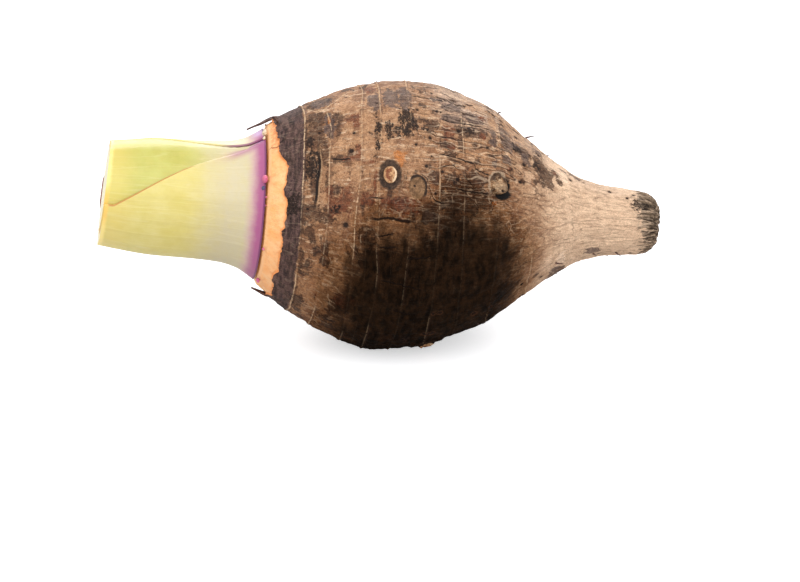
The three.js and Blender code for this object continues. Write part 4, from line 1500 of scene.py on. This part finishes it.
def close_wall(rims, rows, across, rounded):
    """Closes both ends of the outer stalk by strips across its wall, from the outside to the
    hollow. Returns their points and faces."""
    sides = 2 * (across + rounded)
    outside, hollow = np.arange(across), across + rounded + np.arange(across)[::-1]
    inward = np.array((0.07, 0.25, 0.45, 0.65, 0.85))[:, None, None]
    margins = (
        (across - 1, range(across, across + rounded)),
        (0, range(sides - 1, sides - 1 - rounded, -1)),
    )
    points, faces, count = [], [], rows * sides
    for row, rim in rims.items():
        start, finish = rim[outside], rim[hollow]
        points.append((start + (finish - start) * inward).reshape(-1, 3))
        between = count + np.arange(len(inward) * across).reshape(-1, across)
        ids = np.vstack([row * sides + outside, between, row * sides + hollow])
        count += between.size
        faces += sheet_faces(ids, False, row == 0)
        for column, lips in margins:
            loop = [*ids[:, column], *[row * sides + at for at in lips][::-1]]
            faces.append(loop[::-1] if (row == 0) == (column == 0) else loop)
    return points, faces


def close_tube(grid, rings):
    """Closes both ends of a tube by rings that shrink to the middle. Returns their points and
    faces."""
    rows, sides = grid.shape[:2]
    shrunk = np.linspace(1, 0, rings + 1)[1:-1, None, None]
    points, faces, count = [], [], rows * sides
    for row in (0, rows - 1):
        heart = grid[row].mean(0)
        points += [(heart + (grid[row] - heart) * shrunk).reshape(-1, 3), heart[None]]
        between = count + np.arange((rings - 1) * sides).reshape(-1, sides)
        ids = np.vstack([row * sides + np.arange(sides), between])
        last = count + between.size
        count = last + 1
        faces += sheet_faces(ids, True, row == 0)
        for side in range(sides):
            face = (ids[-1, side], ids[-1, (side + 1) % sides], last)
            faces.append(face[::-1] if row == 0 else face)
    return points, faces


def off_wall_edge(reach, angle):
    """How far a point of the outer stalk's cut is from the nearer edge of its wall."""
    from_outside = np.abs(stub_radius(STALK_LENGTH) - reach)
    from_hollow = np.abs(reach - hollow_at(STALK_LENGTH, angle))
    return np.minimum(from_outside, from_hollow)


def off_inner_edge(reach, angle):
    """How far a point of the inner stalk's cut is from its edge."""
    return np.maximum(hollow_at(STALK_LENGTH, angle) - GAP - reach, 0)


def make_stalk(names, points, faces, skin_fields, off_edge, finish):
    """Makes a leaf stalk from the points and the faces of its skin and then of its ends.

    The skin's fields are its place on the stalk, its straightened place and how far it is from
    the cut. How far the ends' points are from their edge comes from off_edge."""
    name, slot, node = names
    stalk_place, skin, to_cut = skin_fields
    flat = np.concatenate([points[0].reshape(-1, 3), *points[1]])
    centre, _, top, front = frames(-STALK_LENGTH)
    up, forward = (flat - centre) @ top, (flat - centre) @ front
    edge = off_edge(np.hypot(up, forward), np.arctan2(forward, up))
    edge[: to_cut.size] = to_cut.ravel()
    fill = np.zeros((len(flat) - to_cut.size, 3))
    fields = {
        "stalk_place": np.concatenate([stalk_place.reshape(-1, 3), fill]),
        "skin": np.concatenate([skin.reshape(-1, 3), fill]),
        "cut_place": np.stack([up, forward, edge], -1),
    }
    parts = [0] * len(faces[0]) + [1] * len(faces[1])
    stalk = make_object(name, flat, faces[0] + faces[1], fields, parts, 50)
    title, settings, green, creamy = finish
    skin_finish = stalk_material(title, settings, green, creamy)
    finish_piece(stalk, slot, (skin_finish, cut_material(settings)), node)


class TARO_OT_outer_stalk(bpy.types.Operator):
    """Grow the outer leaf stalk, which wraps the inner one"""

    bl_idname = "taro.outer_stalk"
    bl_label = "Outer leaf stalk"

    def execute(self, context):
        settings = context.scene.taro_stalks
        across, rounded, rows = 150, 5, 84
        share, depth, side = wall_section(across, rounded)

        def angle_at(distance):
            middle, half = slit_at(distance)
            bulge = 0.4 * np.sin(pi * depth) * side / stub_radius(distance)
            return middle + half + (2 * pi - 2 * half) * share + bulge

        def surface(distance):
            angle = angle_at(distance)
            outside = stub_radius(distance) + ribs(distance, angle, settings.rib_depth / MM)
            radius = outside + (hollow_at(distance, angle) - outside) * depth
            return place(-distance, radius * np.cos(angle), radius * np.sin(angle))

        ends = to_the_cut(surface, len(share), 0)
        distance = GAP + (ends - GAP)[None, :] * np.linspace(0, 1, rows)[:, None]
        points, angle = surface(distance), angle_at(distance)
        # The knife left a thin lip of skin standing at the back of the cut.
        rims = {0: points[0], rows - 1: points[-1].copy()}
        turned = np.degrees(angle[-1]) % 360
        proud = 0.7 * smooth(232, 243, turned) * smooth(277, 266, turned) * (depth == 0)
        points[-1] = surface((ends + proud)[None, :])[0]
        girth = (2 * pi - 2 * slit_at(distance)[1]) * stub_radius(distance)
        stalk_place = np.stack([distance, share * girth, (1 - share) * girth], -1)
        skin = stalk_skin(distance, angle, 25 - 3 * depth)
        end_points, end_faces = close_wall(rims, rows, across, rounded)
        make_stalk(
            ("outer_stalk_skin", "outer_stalk", "outer_leaf_stalk"),
            (points, end_points),
            (tube_faces(rows, len(share)), end_faces),
            (stalk_place, skin, ends[None, :] - distance),
            off_wall_edge,
            ("Outer stalk skin", settings, settings.outer_green, colour(220, 206, 130)),
        )
        return {"FINISHED"}


class TARO_OT_inner_stalk(bpy.types.Operator):
    """Grow the inner leaf stalk, which shows in the slit of the outer one"""

    bl_idname = "taro.inner_stalk"
    bl_label = "Inner leaf stalk"

    def execute(self, context):
        settings = context.scene.taro_stalks
        sides, rows, rings = 240, 84, 16
        angle = np.linspace(0, 2 * pi, sides, endpoint=False)[None, :]

        def surface(distance):
            middle, half = slit_at(distance)
            past = (np.abs((angle - middle + pi) % (2 * pi) - pi) - half) * 24
            behind = smooth(10, -10, (np.degrees(angle - middle) + 180) % 360 - 180)
            radius = hollow_at(distance, angle) - GAP + 0.9 * behind * smooth(-0.1, -0.9, past)
            radius = radius + ribs(distance, angle, settings.rib_depth / MM) * 0.4
            return place(-distance, radius * np.cos(angle), radius * np.sin(angle))

        ends = to_the_cut(surface, sides, INNER_STALK_PROUD)
        distance = GAP + (ends - GAP)[None, :] * np.linspace(0, 1, rows)[:, None]
        points = surface(distance)
        angles = np.repeat(angle, rows, 0)
        middle, half = slit_at(distance)
        off = np.abs((angles - middle + pi) % (2 * pi) - pi)
        to_margin = (half - off) * stub_radius(distance)
        back = (np.sin(middle - angles) > 0) & (to_margin > 0)
        from_front = np.where((to_margin < 0) | back, 9, to_margin)
        from_back = np.where(back, to_margin, 60)
        stalk_place = np.stack([distance, from_front, from_back], -1)
        skin = stalk_skin(distance, angles, 22 + 0 * distance)
        end_points, end_faces = close_tube(points, rings)
        make_stalk(
            ("inner_stalk_skin", "inner_stalk", "inner_leaf_stalk"),
            (points, end_points),
            (tube_faces(rows, sides), end_faces),
            (stalk_place, skin, ends[None, :] - distance),
            off_inner_edge,
            ("Inner stalk skin", settings, settings.inner_green, colour(196, 193, 102)),
        )
        return {"FINISHED"}


# Nubs in the groove at the crown: station, angle, size, and which of pink, blue and cream it is.
NUBS = [
    *((0.2, 54, 1.3, 0), (-0.1, 60, 0.8, 1), (1.0, 67, 0.3, 0), (1.0, 73, 0.25, 0)),
    *((0.4, 10, 1.1, 2), (0.2, 14, 0.6, 2), (1.8, 140, 0.8, 0), (1.7, 215, 0.9, 0)),
    *((1.8, 262, 0.6, 1), (1.7, 318, 0.75, 0), (1.6, 350, 0.4, 2), (1.7, 105, 0.5, 0)),
]


class TARO_OT_crown_buds(bpy.types.Operator):
    """Grow the pink nubs in the groove between the crown and the stalks"""

    bl_idname = "taro.crown_buds"
    bl_label = "Crown nubs"

    def execute(self, context):
        settings = context.scene.taro_stalks
        length = settings.nub_length / MM
        rows, sides = 14, 16
        points, faces, along_nub = [], [], []
        for station, degrees, size, kind in NUBS:
            middle = radians(degrees)
            share = np.linspace(0.02, 0.98, rows)[:, None]
            round_there = np.linspace(0, 2 * pi, sides, endpoint=False)[None, :]
            fat = 0.36 * length * size * np.sin(pi * share**0.75) ** 0.8 + 0.02
            low = outline_radius(station) - 1.6
            height = low + length * size * share
            across = fat * np.cos(round_there) * 1.25
            ahead = station - 1.2 + 0.3 * share + fat * np.sin(round_there)
            angle = middle + across / low
            up, forward = height * np.cos(angle), height * np.sin(angle)
            made = place(ahead, up, forward)
            faces += capped_tube(rows, sides, len(points) * rows * sides)
            points.append(made.reshape(-1, 3))
            place_on_nub = np.repeat(share, sides, 1).ravel()
            tints = [np.full(place_on_nub.shape, float(kind == tint)) for tint in (1, 2)]
            along_nub.append(np.stack([place_on_nub, *tints], -1))
        flat = np.concatenate(points)
        fields = {"nub_place": np.concatenate(along_nub), "skin": flat}
        nubs = make_object("crown_nubs", flat, faces, fields)
        finish_piece(nubs, "outer_stalk", (nub_material(settings),))
        return {"FINISHED"}


# ---------------------------------------------------------------- loose and papery things

# Remnants: angle, length, width, and the distance from the spine that the tip reaches.
REMNANTS = [(-10, 13, 7, 30.2), (6, 3, 3, 38.4), (170, 8, 9, 35), (226, 9, 8, 34.5)]
CLEAR_OF_FLOOR = 7  # how high a rootlet's foot must be
# Rootlets in plain sight: station, angle, size.
ROOTLETS = [(98.5, -12, 0.8), (110.5, -10, 1.0), (120, -9, 0.5), (57, 112, 0.6)]


class TARO_OT_remnants(bpy.types.Operator):
    """Hang the papery remnants of old leaf bases on the torn edge of the bark"""

    bl_idname = "taro.remnants"
    bl_label = "Papery remnants"

    def execute(self, context):
        thick = context.scene.taro_loose.flake_thickness / MM
        rows, across = 26, 9
        points, faces = [], []
        for order, (degrees, length, width, tip) in enumerate(REMNANTS):
            middle = radians(degrees)
            root = float(torn_station(np.array([middle]))[0]) + 2
            start = outline_radius(root) - 0.2
            share = np.linspace(0, 1, rows)[:, None]
            jag = 1 + 0.25 * wavering(share, 0.08, order + 0.3)
            half = (1 - 0.94 * share**1.5) * width / 2 * jag
            plump = thick * (0.4 + 3.6 * np.sin(pi * share**0.8) * (1 - share))
            spread = np.linspace(-1, 1, across)[None, :]
            sway = 0.3 * np.sin(pi * share) * wavering(share, 0.4, order)
            lower = start + (tip - start) * share + sway
            curl = 0.5 * spread**2 * (0.3 + share)
            station = root - length * share + 0.6 * wavering(spread * 3, 1.0, order) * share
            loop = []
            for over, sweep in ((plump, 1), (0 * plump, -1)):
                column = spread[:, ::sweep] if sweep < 0 else spread
                turned = middle + column * half / start
                reach = lower + (curl[:, ::sweep] if sweep < 0 else curl) + over
                there = np.broadcast_to(station, reach.shape)
                loop.append(place(there, reach * np.cos(turned), reach * np.sin(turned)))
            ring = np.concatenate(loop, 1)
            sides = ring.shape[1]
            faces += capped_tube(rows, sides, order * rows * sides)
            points.append(ring.reshape(-1, 3))
        flat = np.concatenate(points)
        flakes = make_object("bark_remnants", flat, faces, {"skin": flat}, None, 60)
        finish_piece(flakes, "bark", (flake_material(),))
        return {"FINISHED"}


class TARO_OT_rootlets(bpy.types.Operator):
    """Set the dry stubs of rootlets into the bark"""

    bl_idname = "taro.rootlets"
    bl_label = "Rootlets"

    def execute(self, context):
        settings = context.scene.taro_loose
        longest = settings.rootlet_length / MM
        rng = np.random.default_rng(12)
        rootlets = list(ROOTLETS)
        while len(rootlets) < len(ROOTLETS) + settings.rootlets:
            station, degrees = rng.uniform(14, 158), rng.uniform(118, 342)
            found = (station, radians(degrees), outline_radius(station))
            foot = corm_point(*(np.array(value) for value in found))
            if foot[2] > CLEAR_OF_FLOOR:
                rootlets.append((station, degrees, rng.uniform(0.35, 1.0)))
        rows, sides = 9, 7
        points, faces = [], []
        for order, (station, degrees, size) in enumerate(rootlets):
            angle, radius = np.array(radians(degrees)), outline_radius(station)
            foot = corm_point(np.array(station), angle, radius)
            centre, along, _, _ = frames(station)
            out = unit(foot - centre)
            lean = along * rng.uniform(0.6, 1.6) + np.cross(along, out) * rng.normal(0, 0.5)
            share = np.linspace(0, 1, rows)[:, None]
            reach = longest * size
            rise = share * (1 - 0.45 * share) * reach * 0.55
            path = foot - out * 0.6 + out * rise + lean * share**1.4 * reach * 0.6
            direction = unit(np.gradient(path, axis=0))
            first = unit(np.cross(direction, along + 0.1))
            second = np.cross(direction, first)
            fat = (0.42 * (1 - share) ** 0.6 + 0.07) * (0.6 + 0.4 * size)
            turned = np.linspace(0, 2 * pi, sides, endpoint=False)[None, :, None]
            ring = path[:, None] + fat[:, None] * (
                np.cos(turned) * first[:, None] + np.sin(turned) * second[:, None]
            )
            faces += capped_tube(rows, sides, order * rows * sides)
            points.append(ring.reshape(-1, 3))
        flat = np.concatenate(points)
        made = make_object("rootlets", flat, faces, {"skin": flat})
        finish_piece(made, "bark", (bpy.data.materials.get("Papery flakes") or flake_material(),))
        return {"FINISHED"}


# ---------------------------------------------------------------- the stage


LOOKS_BELOW = 2.23  # degrees that the camera looks below the middle of the belly


def lay_floor(settings):
    """A floor that looks white, and throws only plain grey light back at the yam."""
    size = 4000
    corners = [(-size, -size, 0), (size, -size, 0), (size, size, 0), (-size, size, 0)]
    floor = make_object("floor", np.array(corners, float), [(0, 1, 2, 3)])
    material, nodes, shader = new_material("Pale floor", 0.9)
    shader["Base Color"].default_value = (0.82, 0.82, 0.84, 1)
    shader["Specular IOR Level"].default_value = 0.0
    shader["Emission Color"].default_value = (1, 1, 1, 1)
    shader["Emission Strength"].default_value = settings.floor_glow
    unseen = nodes.add("ShaderNodeBsdfDiffuse", {"Color": (0.62, 0.62, 0.63, 1)})
    seen = nodes.add("ShaderNodeLightPath", output="Is Camera Ray")
    output = material.node_tree.nodes["Material Output"].inputs["Surface"]
    blend = {0: seen, 1: unseen, 2: output.links[0].from_socket}
    nodes.feed(output, nodes.add("ShaderNodeMixShader", blend))
    floor.data.materials.append(material)


def light_room(scene, settings):
    """Even light from all round, and soft lights overhead and behind."""
    world = bpy.data.worlds.new("Pale room")
    scene.world = world
    world.use_nodes = True
    world.node_tree.nodes.clear()
    nodes = Nodes(world.node_tree)
    white = (1, 1, 1, 1)
    seen = nodes.add("ShaderNodeLightPath", output="Is Camera Ray")
    fill = nodes.add("ShaderNodeBackground", {0: white, 1: settings.sky_strength})
    shown = nodes.add("ShaderNodeBackground", {0: white, 1: 1.05})
    blend = nodes.add("ShaderNodeMixShader", {0: seen, 1: fill, 2: shown})
    nodes.add("ShaderNodeOutputWorld", {"Surface": blend}, None)
    for name, strength, spread, lean in (
        ("Overhead light", settings.sun_strength, 75, (34, 2)),
        ("Back light", settings.back_strength, 40, (-58, 6)),
    ):
        light = bpy.data.lights.new(name, "SUN")
        light.energy, light.angle = strength, radians(spread)
        lamp = bpy.data.objects.new(name, light)
        lamp.rotation_euler = (radians(lean[0]), radians(lean[1]), 0)
        scene.collection.objects.link(lamp)


def place_camera(scene, settings):
    """The camera, in front of the yam and above it."""
    camera = bpy.data.objects.new("Camera", bpy.data.cameras.new("Camera"))
    camera.data.lens, camera.data.sensor_width = 90, 36
    camera.data.clip_start, camera.data.clip_end = 0.05, 50

    def back(elevation):
        level = Vector((sin(settings.azimuth), -cos(settings.azimuth), 0)) * cos(elevation)
        return level + Vector((0, 0, sin(elevation)))

    away = back(settings.elevation) * settings.camera_distance
    camera.location = Vector(SPINE_ORIGIN * MM) + away
    facing = back(settings.elevation + radians(LOOKS_BELOW))
    camera.rotation_euler = facing.to_track_quat("Z", "Y").to_euler()
    scene.collection.objects.link(camera)
    scene.camera = camera


class TARO_OT_stage(bpy.types.Operator):
    """Set up the floor, the soft light and the camera"""

    bl_idname = "taro.stage"
    bl_label = "Stage"

    def execute(self, context):
        scene, settings = context.scene, context.scene.taro_stage
        lay_floor(settings)
        light_room(scene, settings)
        place_camera(scene, settings)
        scene.view_settings.view_transform = "Standard"
        return {"FINISHED"}


# ---------------------------------------------------------------- the add-on


class TARO_PT_panel(bpy.types.Panel):
    """Lists the pieces of the yam with the sizes and colours that can be changed"""

    bl_idname = "TARO_PT_panel"
    bl_label = "Taro Yam"
    bl_space_type = "VIEW_3D"
    bl_region_type = "UI"
    bl_category = "Taro Yam"

    def draw(self, context):
        for settings, _, operators in PIECES:
            box = self.layout.box()
            group = getattr(context.scene, settings)
            for operator in operators:
                box.operator(operator.bl_idname)
            for name in group.__annotations__:
                box.prop(group, name)


# The pieces: their settings, and the operators that make them in order.
PIECES = [
    ("taro_corm", TARO_PG_corm, (TARO_OT_corm,)),
    ("taro_stalks", TARO_PG_stalks, (TARO_OT_outer_stalk, TARO_OT_inner_stalk, TARO_OT_crown_buds)),
    ("taro_loose", TARO_PG_loose, (TARO_OT_remnants, TARO_OT_rootlets)),
    ("taro_stage", TARO_PG_stage, (TARO_OT_stage,)),
]
CLASSES = [each for _, group, operators in PIECES for each in (group, *operators)]
CLASSES.append(TARO_PT_panel)


def register():
    for each in CLASSES:
        bpy.utils.register_class(each)
    for name, group, _ in PIECES:
        setattr(bpy.types.Scene, name, PointerProperty(type=group))


def unregister():
    for name, _, _ in PIECES:
        delattr(bpy.types.Scene, name)
    for each in reversed(CLASSES):
        bpy.utils.unregister_class(each)


def main():
    """Build every piece and the stage."""
    register()
    for _, _, operators in PIECES:
        for operator in operators:
            group, _, name = operator.bl_idname.partition(".")
            getattr(getattr(bpy.ops, group), name)()


if __name__ == "__main__":
    main()
